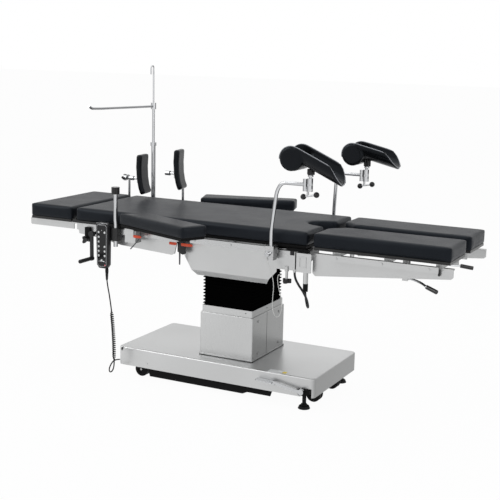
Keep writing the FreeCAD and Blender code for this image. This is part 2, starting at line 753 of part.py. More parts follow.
def rail_clamp(x, s, z0=664.0, z1=728.0, w=44.0, reach=36.0):
    """Clamp block that grips a side rail."""
    a = s * (RAIL_Y - 7)
    b = s * (RAIL_Y + reach)
    block = box(x - w / 2, x + w / 2, min(a, b), max(a, b), z0, z1)
    block = soften(block, 4, lambda e: along(e, "z"))
    slot = box(x - w, x + w, min(s * (RAIL_Y - CLEAR), s * (RAIL_Y + RAIL_T + 3.2)),
               max(s * (RAIL_Y - CLEAR), s * (RAIL_Y + RAIL_T + 3.2)), RAIL_TOP - RAIL_H - CLEAR, RAIL_TOP + CLEAR)
    front = box(x - w, x + w, min(a, s * (RAIL_Y + 2)) - 0.1, max(a, s * (RAIL_Y + 2)) + 0.1, z0 - 1, RAIL_TOP - RAIL_H + 3)
    return block.cut([slot, front])


def gearbox():
    """Worm gear housing of the head drive, under the back section."""
    y = -PLATE_Y
    body = box(CRANK_X - 40, CRANK_X + 40, y, y + 70, CRANK_Z - 23, BOARD_Z)
    body = soften(body, 6, lambda e: along(e, "z"))
    return body.cut(rod("y", 7 + PIN_FIT, y - 14, y + 66, CRANK_X, CRANK_Z))


def crank_bearing():
    """Flanged tube that carries the crank shaft out past the rail."""
    y = -PLATE_Y - 6
    flange = rod("y", 20, y - 4, y, CRANK_X, CRANK_Z)
    tube = rod("y", 13, y - 48, y - 4, CRANK_X, CRANK_Z)
    return flange.fuse(tube).cut(rod("y", 7 + PIN_FIT, y - 88, y + 12, CRANK_X, CRANK_Z)).removeSplitter()


def crank():
    """Crank: shaft, boss, cranked arm and grip pin."""
    z = CRANK_Z
    shaft = rod("y", 7, CRANK_Y - 6, 61 - PLATE_Y, CRANK_X, z)
    boss = rod("y", 14, CRANK_Y - 8, CRANK_Y + 8, CRANK_X, z)
    arm = box(CRANK_X - 8, CRANK_X + 8, CRANK_Y - 4, CRANK_Y + 4, z - CRANK_ARM, z)
    end = rod("y", 11, CRANK_Y - 5, CRANK_Y + 5, CRANK_X, z - CRANK_ARM)
    spindle = rod("y", 4, CRANK_Y - 100, CRANK_Y, CRANK_X, z - CRANK_ARM)
    return fuse(shaft, boss, arm, end, spindle)


def crank_grip():
    """Turning handle on the crank's spindle."""
    z = CRANK_Z - CRANK_ARM
    y1 = CRANK_Y - 5.5
    grip = rod("y", 9, y1 - 90, y1, CRANK_X, z)
    grip = soften(grip, 3, lambda e: isinstance(e.Curve, Part.Circle))
    return grip.cut(rod("y", 4.05, y1 - 200, y1 + 1, CRANK_X, z))


def handset():
    """Wired handset that hangs on the rail by its hook."""
    y = SET_Y
    body = box(-575, -507, y - 30, y, 537, 750)
    body = soften(body, 10, lambda e: along(e, "y"))
    body = soften(body, 3, lambda e: abs(e.CenterOfMass.y - y + 30) < 0.01)
    z = RAIL_TOP
    hook = box(-542, -518, y, y + 15, 690, z + 6).fuse(box(-542, -518, y + 15, y + 37, z, z + 6))
    hook = hook.fuse(box(-542, -518, y + 32, y + 37, z - 12, z + 1))
    return body.fuse(hook).removeSplitter()


def handset_keys():
    """Raised keys of the sealed keypad: six pairs, less two, and one alone."""
    keys = []
    y0 = SET_Y - 33
    y1 = SET_Y - 30
    for i in range(6):
        z = 700 - 24 * i
        keys.append(soften(box(-570, -550, y0, y1, z, z + 12), 5, lambda e: along(e, "y")))
        if i < 4:
            keys.append(soften(box(-540, -520, y0, y1, z, z + 12), 5, lambda e: along(e, "y")))
    keys.append(rod("y", 6, y0, y1, -530, 732))
    return group(*keys)


def strain_relief():
    """Tapered sleeve where the cord leaves the handset."""
    return Part.makeCone(6, 9, 55, V(-524, SET_Y - 15, 482))


def front_post():
    """Post with its screw knob, standing in a rail clamp."""
    tube = rod("z", 10, 640, 885, POST_X, POST_Y)
    seam = rod("z", 10.8, 846, 850, POST_X, POST_Y)
    return fuse(tube, seam)


def post_knob():
    """Fluted knob on top of the post."""
    body = rod("z", 19, 885, 917, POST_X, POST_Y)
    for i in range(8):
        a = math.radians(45 * i)
        cut = rod("z", 4, 884, 918, POST_X + 21 * math.cos(a), POST_Y + 21 * math.sin(a))
        body = body.cut(cut)
    return body


def post_clamp():
    """Rail clamp that holds the post."""
    block = rail_clamp(POST_X, -1, 668, 728, 36, 38)
    return block.cut(rod("z", 10, 600, 800, POST_X, POST_Y))


def arm_outline(s, edge):
    """Plan of an arm board."""
    if s < 0:
        pts = [(-439, -350), (-6, -513), (54, -402), (-320, -262)]
    else:
        pts = [(-427, 428), (40, 559), (67, 465), (-378, 290)]
    pts = [(x, y + s * SIDE_SHIFT) for x, y in pts]
    cx = sum(p[0] for p in pts) / 4
    cy = sum(p[1] for p in pts) / 4
    k = 1 - edge / 60
    return [(cx + (x - cx) * k, cy + (y - cy) * k) for x, y in pts]


def arm_pad(s):
    """Cushion of an arm board."""
    body = poly(arm_outline(s, 0), "z", ARM_TOP - ARM_PAD, ARM_TOP)
    body = soften(body, 14, lambda e: along(e, "z"))
    return soften(body, 5, lambda e: abs(mid_z(e) - ARM_TOP) < 0.01)


ARM_PIVOT = {-1: (-392.0, -RAIL_Y - 31), 1: (-392.0, RAIL_Y + 43)}


def arm_board(s):
    """Rigid board and swivel plate under an arm cushion."""
    z1 = ARM_TOP - ARM_PAD
    x, y = ARM_PIVOT[s]
    board = poly(arm_outline(s, 4), "z", z1 - ARM_BOARD, z1)
    boss = rod("z", 22, z1 - ARM_BOARD - 8, z1 - ARM_BOARD, x, y)
    pin = rod("z", 8, z1 - ARM_BOARD - 34, z1 - ARM_BOARD, x, y)
    return fuse(board, boss, pin)


def arm_clamp(s):
    """Rail clamp with the bore for the arm board's pin."""
    x, y = ARM_PIVOT[s]
    z1 = ARM_TOP - ARM_PAD - ARM_BOARD - 8 - CLEAR
    block = rail_clamp(x, s, 672, 728, 60, 50)
    top = plane_box(x - 24, x + 24, s, RAIL_Y + 14, RAIL_Y + 58, 712, z1)
    shape = block.fuse(top).removeSplitter()
    return shape.cut(rod("z", 8.05, 700, 760, x, y))


PAD_FORM = ((-14, 203), (-17, 140), (-13, 80), (-4, 35), (8, 0), (34, 12), (21, 45), (14, 88), (12, 140), (16, 203))
PAD_LEFT = (-659.0, CRUTCH_Y - 101, 812.0, 7.4)
PAD_RIGHT = (-471.0, CRUTCH_Y - 58, 845.0, 12.0)
HOLDER_LEFT = -804.0
HOLDER_RIGHT = -481.0


def holder_plate():
    """Plate that carries a shoulder pad, set into its back, in the pad's own place."""
    return box(-18, -12, -26, 26, 60, 100)


def shoulder_pad(x0, y0, z0, yaw):
    """Shoulder pad: a thick cushion with a hollow face that kicks out at its foot."""
    body = poly(PAD_FORM, "y", -48, 48)
    body = soften(body, 9, lambda e: along(e, "y") and (e.CenterOfMass.z > 200 or e.CenterOfMass.z < 13))
    body = body.cut(holder_plate())
    return turned(body, (0, 0, 0), (0, 0, 1), yaw).translated(V(x0, y0, z0))


def shoulder_left():
    """Head-end shoulder support: rail post, bent bar and two clamping knobs."""
    x = HOLDER_LEFT
    y = CRUTCH_Y
    px, py, pz, yaw = PAD_LEFT
    z = pz + 78
    post = rod("z", 6, 690, 838, x, y)
    shape, used, length = pipe([(x, y, 838), (x, y, z), (x + 26, py, z), (px - 16, py, z)], 6)
    knobs = [rod("x", 13, px - 113, px - 91, py, z), rod("x", 11, px - 72, px - 52, py, z)]
    plate = turned(holder_plate(), (0, 0, 0), (0, 0, 1), yaw).translated(V(px, py, pz))
    return fuse(post, shape, plate, *knobs)


def shoulder_right():
    """Second shoulder support, on its own post at the far rail."""
    x = HOLDER_RIGHT
    y = CRUTCH_Y
    px, py, pz, yaw = PAD_RIGHT
    z = pz + 80
    post = rod("z", 6, 690, 850, x, y)
    shape, used, length = pipe([(x, y, 850), (x, y, z), (x - 44, y - 10, z), (x - 48, py, z), (px - 16, py, z)], 6, 9)
    hub = rod("x", 12, px - 76, px - 52, py, z)
    plate = turned(holder_plate(), (0, 0, 0), (0, 0, 1), yaw).translated(V(px, py, pz))
    return fuse(post, shape, plate, hub)


def round_clamp(x, s, z):
    """Rail clamp for a round post, with its bore."""
    block = rail_clamp(x, s, 666, 728, 40, 38)
    return block.cut(rod("z", z, 600, 800, x, s * CRUTCH_Y))


def screen_tube():
    """Lower tube of the screen frame."""
    top = 1068.0
    out = rod("z", 11, 676, top - 18, SCREEN_X, SCREEN_Y)
    head = rod("z", 15, top - 18, top, SCREEN_X, SCREEN_Y)
    return out.fuse(head).cut(rod("z", 7 + PIN_FIT, 690, top + 2, SCREEN_X, SCREEN_Y)).removeSplitter()


BAR_Z = 1250.0


def screen_rod():
    """Sliding rod with the cross bar and the hook."""
    x = SCREEN_X
    y = SCREEN_Y
    z = BAR_Z
    top = BAR_Z + 202
    stem = rod("z", 7, z - 470, z + 10, x, y)
    bar_1, used, length = pipe([(x, y, z), (x, y - 120, z + 2), (x, y - 476, z + 9), (x, y - 536, z + 12),
                                (x, y - 558, z + 24)], 6)
    upper = rod("z", 4, z + 5, top - 22, x, y)
    hook, used, length = pipe([(x, y, top - 27), (x, y, top), (x, y - 24, top), (x, y - 24, top - 42)], 3.5, 9)
    block = rod("z", 13, z - 14, z + 18, x, y)
    return fuse(stem, bar_1, upper, hook, block)


CRUTCH = {-1: (305.0, 326.0, 443.0, 463.0), 1: (347.0, 353.0, 465.0, 487.0)}
CRUTCH_Z = {-1: 1003.0, 1: 985.0}


def crutch_rod(s):
    """Bent rod that stands in the rail clamp."""
    x0, x1, x2, x3 = CRUTCH[s]
    y = s * CRUTCH_Y
    z = CRUTCH_Z[s]
    foot = rod("z", 8, 668, 745, x0, y)
    shape, used, length = pipe([(x0, y, 745), (x0, y, 800), (x1, y, z - 38), (x1 + 22, y, z), (x2 + 12, y, z)], 8)
    return shape.fuse(foot).removeSplitter()


def crutch_block(s):
    """Clamping joint of a leg support: two upright barrels and the cross pin."""
    x0, x1, x2, x3 = CRUTCH[s]
    x = x3 + 14
    y = s * CRUTCH_Y
    z = CRUTCH_Z[s]
    near = rod("z", 9, z - 28, z + 24, x - 22, y)
    far = rod("z", 13, z - 28, z + 27, x, y)
    far = far.cut(box(x - 14, x + 14, y - 8, y + 8, z - 16, z + 28))
    web = box(x - 22, x, y - 7, y + 7, z - 28, z - 16)
    pin = rod("y", 6, y - 13, y + 13, x, z)
    return fuse(near, far, web, pin)


def crutch_handle(s):
    """Tee handle with its two ball ends, under the clamping joint."""
    x = CRUTCH[s][3]
    y = s * CRUTCH_Y
    z = CRUTCH_Z[s]
    stem = rod("z", 5, z - 50, z - 27, x + 6, y)
    tee = bar((x - 14, y, z - 52), (x + 45, y, z - 40), 4)
    ball_1 = Part.makeSphere(12, V(x - 14, y, z - 52))
    ball_2 = Part.makeSphere(12, V(x + 45, y, z - 40))
    return fuse(stem, tee, ball_1, ball_2)


SHELL_R = 64.0
SHELL_WALL = 13.0
SHELL_CURL = 53.0
SHELL_TILT = {-1: 24.0, 1: 13.0}
SHELL_LENGTH = {-1: 236.0, 1: 216.0}
SHELL_AT = {-1: (-51.0, 109.0), 1: (-37.0, 98.0)}


def crutch_shell(s):
    """Leg shell: an open trough that curls down at the knee, with its stem and clamping knob."""
    x = CRUTCH[s][3] + 14
    y = s * CRUTCH_Y
    z = CRUTCH_Z[s]
    inner = SHELL_R - SHELL_WALL
    end = SHELL_LENGTH[s]
    rim = SHELL_CURL
    outer = Part.makeCylinder(SHELL_R, end, V(0, 0, rim), V(1, 0, 0))
    trough = outer.cut(box(-1, end + 1, -SHELL_R - 1, SHELL_R + 1, rim, rim + SHELL_R + 1))
    curl = rod("y", SHELL_CURL, -SHELL_R, SHELL_R, 0, 0)
    curl = soften(curl, 14, lambda e: isinstance(e.Curve, Part.Circle))
    body = trough.fuse(curl).removeSplitter()
    hollow = Part.makeCylinder(inner, end + 2, V(0, 0, rim), V(1, 0, 0))
    core = rod("y", SHELL_CURL * 0.64, -inner - 1, inner + 1, 46, -9)
    knee = rod("y", SHELL_CURL + 1, -inner, inner, 0, 0).cut(core)
    scoop = poly([(end - 71, rim + 2), (end - 46, rim - 14), (end - 24, rim - 34), (end - 5, rim - 52),
                  (end, rim - SHELL_R - 1), (end + 9, rim - SHELL_R - 1), (end + 9, rim + 2)], "y", -SHELL_R - 1, SHELL_R + 1)
    body = body.cut([hollow, knee, scoop])
    body = max(body.Solids, key=lambda part: part.Volume)
    dx, dz = SHELL_AT[s]
    body = turned(body, (0, 0, 0), (0, 1, 0), SHELL_TILT[s]).translated(V(CRUTCH[s][3] + dx, y, z + dz))
    top = z + (70 if s < 0 else 80)
    neck = bar((x, y, z + 8), (x + 4, y, top), 7)
    grip = bar((x + 2.5, y, z + 42), (x + 4, y, top - 6), 17)
    disc = rod("y", 11, y - 7.6, y + 7.6, x, z)
    return fuse(body, neck, grip, disc).cut(rod("y", 6 + PIN_FIT, y - 9, y + 9, x, z))


def cord_upper():
    """Straight stretch of the handset cord below the strain relief."""
    pts = [(-524, -318, 481.7), (-519, -319, 452), (-511, -320, 420), (-504, -320, 380), (-498, -320, 340)]
    return pipe(pts, 3)


def cord_coil():
    """Room of the curled stretch of the handset cord."""
    pts = [(-498, -320, 340), (-492, -320, 285), (-487, -320, 225), (-484, -320, 160), (-484, -320, 98)]
    return pipe(pts, 8)


def cord_lower():
    """Lead that loops from the curled stretch to the base."""
    pts = [(-484, -320, 98), (-484, -320, 72), (-496, -317, 44), (-522, -302, 30), (-542, -278, 38),
           (-545, -254, 58), (-534, -242, 75), (-507, -240, 80)]
    return pipe(pts, 3)


def cable():
    """Dark supply cable of the leg joint, round below the seat and back behind the column."""
    pts = [(402, -257, 616), (402, -257, 596), (417, -252, 564), (438, -240, 530), (447, -220, 494), (440, -186, 456), (420, -144, 436),
           (392, -96, 440), (366, -50, 462), (341, -6, 500), (321, 42, 548), (307, 92, 596), (300, 136, 646),
           (300, 136, 690)]
    return pipe(pts, 5)


def tether():
    """Thin white cord of the leg support clamp, hanging in one loop."""
    pts = [(288, -315, 704), (293, -318, 682), (304, -319, 655), (317, -318, 624), (328, -316, 590), (331, -312, 552),
           (325, -307, 512), (321, -302, 472), (326, -300, 434), (344, -298, 414), (360, -296, 436), (364, -295, 474),
           (358, -296, 514), (346, -298, 552), (340, -298, 590), (346, -296, 612), (358, -294, 600)]
    return pipe(pts, 1.5)


SIDES = {"front": -1, "rear": 1}


def seat_assembly():
    """Seat frame with its board and the bearing plates of the legs."""
    return fuse(seat_frame(), swing_bracket(1), swing_bracket(-1), seat_board())


def back_assembly():
    """Back frame with its board and the opening for the crank shaft."""
    shape = fuse(back_frame(), back_board())
    return shape.cut(rod("y", 7.5, -PLATE_Y - 14, 6 - PLATE_Y, CRANK_X, CRANK_Z))


def head_assembly():
    """Head frame with its board."""
    h = HALF - BOARD_EDGE
    board = box(HEAD_OUT + BOARD_EDGE, HEAD_IN - BOARD_EDGE, -h, h, BOARD_Z, BOARD_TOP)
    return fuse(head_frame(), board)


def leg_assembly(s):
    """Leg plate with its board, rail and lever ears."""
    side = rail(557, LEG_OUT - 43, s, 714, (600, 800, LEG_OUT - 83), CHEEK_Y + 6)
    return fuse(leg_frame(s), leg_board(s), side, *lever_ears(s))


def head_cushion():
    """Head cushion."""
    h = HALF
    return pad([(HEAD_OUT, -h), (HEAD_IN, -h), (HEAD_IN, h), (HEAD_OUT, h)])


def back_rails():
    """Rails of the back section; the far one runs on past the head joint."""
    inner = PLATE_Y + 6
    near = rail(-545, -160, -1, RAIL_TOP, (-445, -330, -190), inner)
    far = rail(-830, -160, 1, RAIL_TOP, (-720, -560, -330, -190), inner)
    return group(near, far)


def seat_rails():
    """Rails of the seat section."""
    near = rail(-100, 330, -1, RAIL_TOP, (-80, 102, 272), SKIRT_Y)
    far = rail(-100, 372, 1, RAIL_TOP, (-80, 102, 272), SKIRT_Y)
    return group(near, far, crutch_clamp(-1), crutch_clamp(1))


def rail_clamps():
    """Clamps on the back rails: post, arm boards, screen and shoulder supports."""
    return group(post_clamp(), arm_clamp(-1), arm_clamp(1), round_clamp(SCREEN_X, 1, 11),
                 round_clamp(HOLDER_LEFT, 1, 6), round_clamp(HOLDER_RIGHT, 1, 6))


def crutch_clamp(s):
    """Clamp of a leg support on the seat rail."""
    x = CRUTCH[s][0]
    block = rail_clamp(x, s, 668, 728, 40, 38)
    return block.cut(rod("z", 8.05, 600, 800, x, s * CRUTCH_Y))


def crutch_post(s):
    """Leg support post: rod, fork and tee handle."""
    return fuse(crutch_rod(s), crutch_block(s), crutch_handle(s))


def nodes():
    """Every node of the table by name."""
    out = {
        "base_cover": base_cover(),
        "base_frame": fuse(base_frame(), lift_tube(), pedal_bracket()),
        "column_cover": group(column_cover(), *column_screws().Solids),
        "bellows": bellows(),
        "leveling_feet": feet(),
        "brake_pedal": brake_pedal(),
        "lift_column": lift_column(),
        "column_head": column_head(),
        "tilt_cross": tilt_cross(),
        "seat_frame": seat_assembly(),
        "seat_skirt": skirt(),
        "seat_cushion": seat_cushion(),
        "seat_rails": seat_rails(),
        "joint_covers": group(joint_cover(-1), joint_cover(1)),
        "back_frame": back_assembly(),
        "back_cushion": back_cushion(),
        "back_rails": back_rails(),
        "rail_clamps": rail_clamps(),
        "head_gearbox": group(gearbox(), crank_bearing()),
        "crank": crank(),
        "crank_grip": crank_grip(),
        "head_frame": head_assembly(),
        "head_cushion": head_cushion(),
        "handset": group(handset(), strain_relief(), *handset_keys().Solids),
        "front_post": group(front_post(), post_knob()),
        "shoulder_supports": group(shoulder_left(), shoulder_right()),
        "shoulder_pads": group(shoulder_pad(*PAD_LEFT), shoulder_pad(*PAD_RIGHT)),
        "screen_tube": screen_tube(),
        "screen_rod": screen_rod(),
    }
    corners = [(-1, CASTER_HEAD, 1), (1, CASTER_HEAD, 2), (-1, CASTER_FOOT, 3), (1, CASTER_FOOT, 4)]
    for s, (x, y), n in corners:
        out["caster_fork_%d" % n] = caster_fork(x, s * y, 1)
        out["caster_wheels_%d" % n] = caster_wheel(x, s * y, 1)
    for side, s in SIDES.items():
        out["leg_knob_" + side] = knob(KNOB_X, s * (JOINT_Y - 1), KNOB_Z - CLEAR, (0, 0, -1), 21, 17)
        out["leg_hub_" + side] = leg_hub(s)
        out["leg_frame_" + side] = leg_assembly(s)
        out["leg_cushion_" + side] = pad(leg_outline(s, 0))
        out["leg_lever_" + side] = leg_lever(s)
        out["arm_board_" + side] = arm_board(s)
        out["arm_cushion_" + side] = arm_pad(s)
        out["crutch_post_" + side] = crutch_post(s)
        out["crutch_shell_" + side] = crutch_shell(s)
    cords = {"handset_cord": cord_upper, "handset_coil": cord_coil, "handset_lead": cord_lower,
             "joint_cable": cable, "clamp_tether": tether}
    for name, make in cords.items():
        shape, used, length = make()
        out[name] = shape
        print(name, "length", round(length), "radii", [round(r) for r in used])
    return out


def main():
    """Build and write every node."""
    os.makedirs("parts", exist_ok=True)
    made = nodes()
    for name, shape in made.items():
        save(name, shape)
    print(len(made), "nodes")


main()
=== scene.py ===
import logging
import math
from dataclasses import dataclass, field
from enum import Enum

import bpy
from mathutils import Matrix, Vector


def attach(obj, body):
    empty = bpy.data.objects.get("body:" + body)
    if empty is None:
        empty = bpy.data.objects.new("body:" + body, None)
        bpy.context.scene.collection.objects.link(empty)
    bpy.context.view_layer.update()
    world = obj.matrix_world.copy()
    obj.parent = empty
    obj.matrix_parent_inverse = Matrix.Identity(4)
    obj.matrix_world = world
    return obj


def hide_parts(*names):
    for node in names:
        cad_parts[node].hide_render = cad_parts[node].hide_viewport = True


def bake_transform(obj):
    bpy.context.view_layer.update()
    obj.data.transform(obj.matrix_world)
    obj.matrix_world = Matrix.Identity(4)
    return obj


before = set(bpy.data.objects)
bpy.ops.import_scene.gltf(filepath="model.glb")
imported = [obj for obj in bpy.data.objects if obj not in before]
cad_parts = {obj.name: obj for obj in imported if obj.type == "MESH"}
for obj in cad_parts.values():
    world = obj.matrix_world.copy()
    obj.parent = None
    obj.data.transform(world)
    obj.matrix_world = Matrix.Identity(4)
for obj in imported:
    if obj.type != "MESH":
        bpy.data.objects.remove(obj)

LOG = logging.getLogger("operating_table")
MM = 0.001
FINISH_ENDING = "_finish"
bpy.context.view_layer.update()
Point = tuple[float, float, float]


class Side(Enum):
    """The two long sides of the table: near the camera, and far from it."""

    FRONT = -1
    REAR = 1

    @property
    def tag(self) -> str:
        """Name ending of the pieces on this side."""
        return self.name.lower()


class Grain(Enum):
    """Direction in which sheet steel was brushed."""

    ALONG_X = (0.02, 1.0, 1.0)
    ALONG_Z = (1.0, 1.0, 0.02)


class Sock:
    """A node's output socket that does arithmetic by adding Math nodes."""

    def __init__(self, graph: "Graph", socket: bpy.types.NodeSocket) -> None:
        """Keep the graph and the socket."""
        self.graph = graph
        self.socket = socket

    def _math(self, operation: str, left: "Sock | float", right: "Sock | float") -> "Sock":
        """Add one Math node.

        Args:
            operation: the node's operation.
            left: first value.
            right: second value.

        Returns:
            The node's output.
        """
        return self.graph.node("ShaderNodeMath", {"operation": operation}, {0: left, 1: right})

    def __add__(self, other: "Sock | float") -> "Sock":
        """Sum."""
        return self._math("ADD", self, other)

    def __radd__(self, other: float) -> "Sock":
        """Sum with a number first."""
        return self._math("ADD", other, self)

    def __sub__(self, other: "Sock | float") -> "Sock":
        """Difference."""
        return self._math("SUBTRACT", self, other)

    def __rsub__(self, other: float) -> "Sock":
        """Difference with a number first."""
        return self._math("SUBTRACT", other, self)

    def __mul__(self, other: "Sock | float") -> "Sock":
        """Product."""
        return self._math("MULTIPLY", self, other)

    def __rmul__(self, other: float) -> "Sock":
        """Product with a number first."""
        return self._math("MULTIPLY", other, self)

    def __pow__(self, other: "Sock | float") -> "Sock":
        """Power."""
        return self._math("POWER", self, other)

    def above(self, level: float) -> "Sock":
        """One where the value is over a level, else zero."""
        return self._math("GREATER_THAN", self, level)


class Graph:
    """One material's node tree."""

    def __init__(self, name: str) -> None:
        """Make an empty material with its output and surface shader.

        Args:
            name: the material's name.
        """
        self.material = bpy.data.materials.new(name + FINISH_ENDING)
        self.material.use_nodes = True
        self.tree = self.material.node_tree
        self.shader = next(n for n in self.tree.nodes if n.type == "BSDF_PRINCIPLED")

    def node(self, kind: str, settings: dict | None = None, inputs: dict | None = None, out: int | str = 0) -> Sock:
        """Add one node.

        Args:
            kind: the node's type name.
            settings: its settings, put on first. Stops of a ramp are given as "stops".
            inputs: values or links of its sockets, by index or name.
            out: which output to return.

        Returns:
            The chosen output.
        """
        made = self.tree.nodes.new(kind)
        for key, value in (settings or {}).items():
            if key == "stops":
                self._stops(made, value)
            else:
                setattr(made, key, value)
        for key, value in (inputs or {}).items():
            self.feed(made.inputs[key], value)
        return Sock(self, made.outputs[out])

    @staticmethod
    def _stops(made: bpy.types.Node, stops: list) -> None:
        """Set a colour ramp's stops, as pairs of place and colour."""
        ramp = made.color_ramp
        while len(ramp.elements) < len(stops):
            ramp.elements.new(0.5)
        for element, (place, colour) in zip(ramp.elements, stops):
            element.position = place
            element.color = (*colour, 1.0)

    def feed(self, target: bpy.types.NodeSocket, value: "Sock | float | tuple") -> None:
        """Link a socket or set its value."""
        if isinstance(value, Sock):
            self.tree.links.new(value.socket, target)
        elif isinstance(value, tuple) and target.type == "RGBA":
            target.default_value = (*value, 1.0)
        else:
            target.default_value = value

    def set(self, **inputs: "Sock | float | tuple") -> None:
        """Feed the surface shader's sockets. Underscores in a name stand for spaces."""
        for key, value in inputs.items():
            self.feed(self.shader.inputs[key.replace("_", " ")], value)

    def place(self, scale: Point = (1.0, 1.0, 1.0), turn: Point = (0.0, 0.0, 0.0)) -> Sock:
        """Object coordinates in metres, scaled and turned.

        Args:
            scale: factor along each axis.
            turn: angles about each axis, in radians.

        Returns:
            The mapped coordinates.
        """
        coords = self.node("ShaderNodeTexCoord", out="Object")
        return self.node("ShaderNodeMapping", None, {"Vector": coords, "Scale": scale, "Rotation": turn})

    def noise(self, where: Sock, scale: float, detail: float = 3.0, rough: float = 0.5) -> Sock:
        """Noise between 0 and 1."""
        inputs = {"Vector": where, "Scale": scale, "Detail": detail, "Roughness": rough}
        return self.node("ShaderNodeTexNoise", None, inputs)

    def mix(self, factor: "Sock | float", a: "Sock | tuple", b: "Sock | tuple") -> Sock:
        """Mix two colours."""
        made = self.tree.nodes.new("ShaderNodeMix")
        made.data_type = "RGBA"
        self.feed(made.inputs[0], factor)
        self.feed(made.inputs[6], a)
        self.feed(made.inputs[7], b)
        return Sock(self, made.outputs[2])

    def dull(self, level: float) -> None:
        """Weaken the surface reflection of a matt finish. Level 0.5 is that of bare plastic."""
        self.shader.inputs["Specular IOR Level"].default_value = level

    def facing(self, axis: int) -> Sock:
        """How squarely a face looks along an axis, from 0 to 1."""
        axes = self.tree.nodes.new("ShaderNodeSeparateXYZ")
        self.feed(axes.inputs[0], self.node("ShaderNodeNewGeometry", out="Normal"))
        return self.node("ShaderNodeClamp", None, {0: Sock(self, axes.outputs[axis])})

    def top(self, colour: Sock, metal: float, black: tuple | None) -> None:
        """Set colour and metal, with black plastic past a plane.

        Args:
            colour: colour of the metal.
            metal: how metallic it is.
            black: axis number, sign of the black side and place in metres, or None for metal all over.
        """
        if black is None:
            self.set(Base_Color=colour, Metallic=metal)
            return
        axis, sign, level = black
        axes = self.tree.nodes.new("ShaderNodeSeparateXYZ")
        self.feed(axes.inputs[0], self.place())
        over = (Sock(self, axes.outputs[axis]) * sign).above(level * sign)
        self.set(Base_Color=self.mix(over, colour, (0.004, 0.004, 0.0045)), Metallic=metal * (1.0 - over))

    def rim(self, way: Point, colour: Sock, dark: Point, most: float) -> Sock:
        """Painted shade: darken the sides of round bars, whose faces look along a fixed direction across the table.
        """
        normal = self.node("ShaderNodeNewGeometry", out="Normal")
        across = self.node("ShaderNodeVectorMath", {"operation": "DOT_PRODUCT"}, {0: normal, 1: way}, out="Value")
        return self.mix((across * across) * most, colour, dark)

    def bump(self, height: Sock, depth: float, strength: float = 1.0) -> Sock:
        """Turn a height into a normal. depth is in metres."""
        return self.node("ShaderNodeBump", None, {"Height": height, "Distance": depth, "Strength": strength})


@dataclass(frozen=True)
class Steel:
    """Brushed stainless sheet or bar."""

    name: str
    grain: Grain = Grain.ALONG_X
    colour: Point = (0.70, 0.705, 0.705)
    rough: float = 0.34
    metal: float = 0.88
    black: tuple | None = None

    def material(self) -> bpy.types.Material:
        """Build the material: fine brush lines, soft cloudy stains, painted shade on faces that look along +X, and a
        black part past a given plane.
        """
        g = Graph(self.name)
        lines = g.noise(g.place(self.grain.value), 900.0, 2.0)
        cloud = g.noise(g.place(), 5.0, 4.0)
        dark = tuple(c * 0.86 for c in self.colour)
        tint = g.mix(cloud, dark, self.colour)
        brushing_and_side_shade = g.mix(lines * 0.22, tint, tuple(c * 0.8 for c in self.colour))
        wide = g.noise(g.place((1.0, 1.0, 0.4)), 2.2, 1.0)
        brushing_and_side_shade = g.mix(wide ** 1.5 * 0.6, brushing_and_side_shade, tuple(c * 0.5 for c in self.colour))
        # Painted shade: faces that look along +X are darkened towards a near-black grey, as if less lit.
        brushing_and_side_shade = g.mix(g.facing(0) ** 2.0 * 0.62, brushing_and_side_shade, (0.10, 0.102, 0.10))
        rough = self.rough + (lines - 0.5) * 0.12 + (cloud - 0.5) * 0.1
        g.set(Roughness=rough)
        g.top(brushing_and_side_shade, self.metal, self.black)
        g.set(Normal=g.bump(lines, 0.00004))
        return g.material


@dataclass(frozen=True)
class Chrome:
    """Polished plated steel with faint wipe marks, and painted dark reflections on the sides of round bars."""

    name: str = "chrome"
    colour: Point = (0.70, 0.71, 0.725)
    rough: float = 0.12
    black: tuple | None = None

    def material(self) -> bpy.types.Material:
        """Build the material."""
        g = Graph(self.name)
        wipe = g.noise(g.place((1.0, 1.0, 0.3)), 60.0, 4.0)
        plate = g.mix(wipe, tuple(c * 0.85 for c in self.colour), self.colour)
        # Painted shade: the sides of round bars, seen across the table, are darkened towards near-black in place of
        # dark reflections.
        g.top(g.rim((0.893, 0.45, 0.0), plate, (0.04, 0.04, 0.042), 0.94), 0.95, self.black)
        g.set(Roughness=self.rough + wipe * 0.1, Normal=g.bump(wipe, 0.00002))
        return g.material


@dataclass(frozen=True)
class Vinyl:
    """Soft coated cover of a cushion: fine leather grain, dull sheen and slow shade changes."""

    name: str
    colour: Point = (0.028, 0.032, 0.038)
    rough: float = 0.5
    grain: float = 900.0
    depth: float = 0.00012
    shine: float = 0.26

    def material(self) -> bpy.types.Material:
        """Build the material."""
        g = Graph(self.name)
        edges = {"feature": "DISTANCE_TO_EDGE"}
        cells = g.node("ShaderNodeTexVoronoi", edges, {"Vector": g.place(), "Scale": self.grain})
        folds = g.noise(g.place(), 9.0, 5.0, 0.55)
        light = tuple(min(1.0, c * 1.5 + 0.004) for c in self.colour)
        g.set(Base_Color=g.mix(folds, self.colour, light), Roughness=self.rough + (folds - 0.5) * 0.16 - cells * 0.5)
        g.shader.inputs["Sheen Weight"].default_value = 0.03
        g.shader.inputs["Sheen Roughness"].default_value = 0.4
        g.shader.inputs["Specular Tint"].default_value = (0.78, 0.88, 1.0, 1.0)
        g.dull(self.shine)
        soft = g.noise(g.place(), 14.0, 3.0)
        fine = g.bump(cells, self.depth)
        made = g.node("ShaderNodeBump", None, {"Height": soft, "Distance": 0.0012, "Strength": 0.5, "Normal": fine})
        g.set(Normal=made)
        return g.material


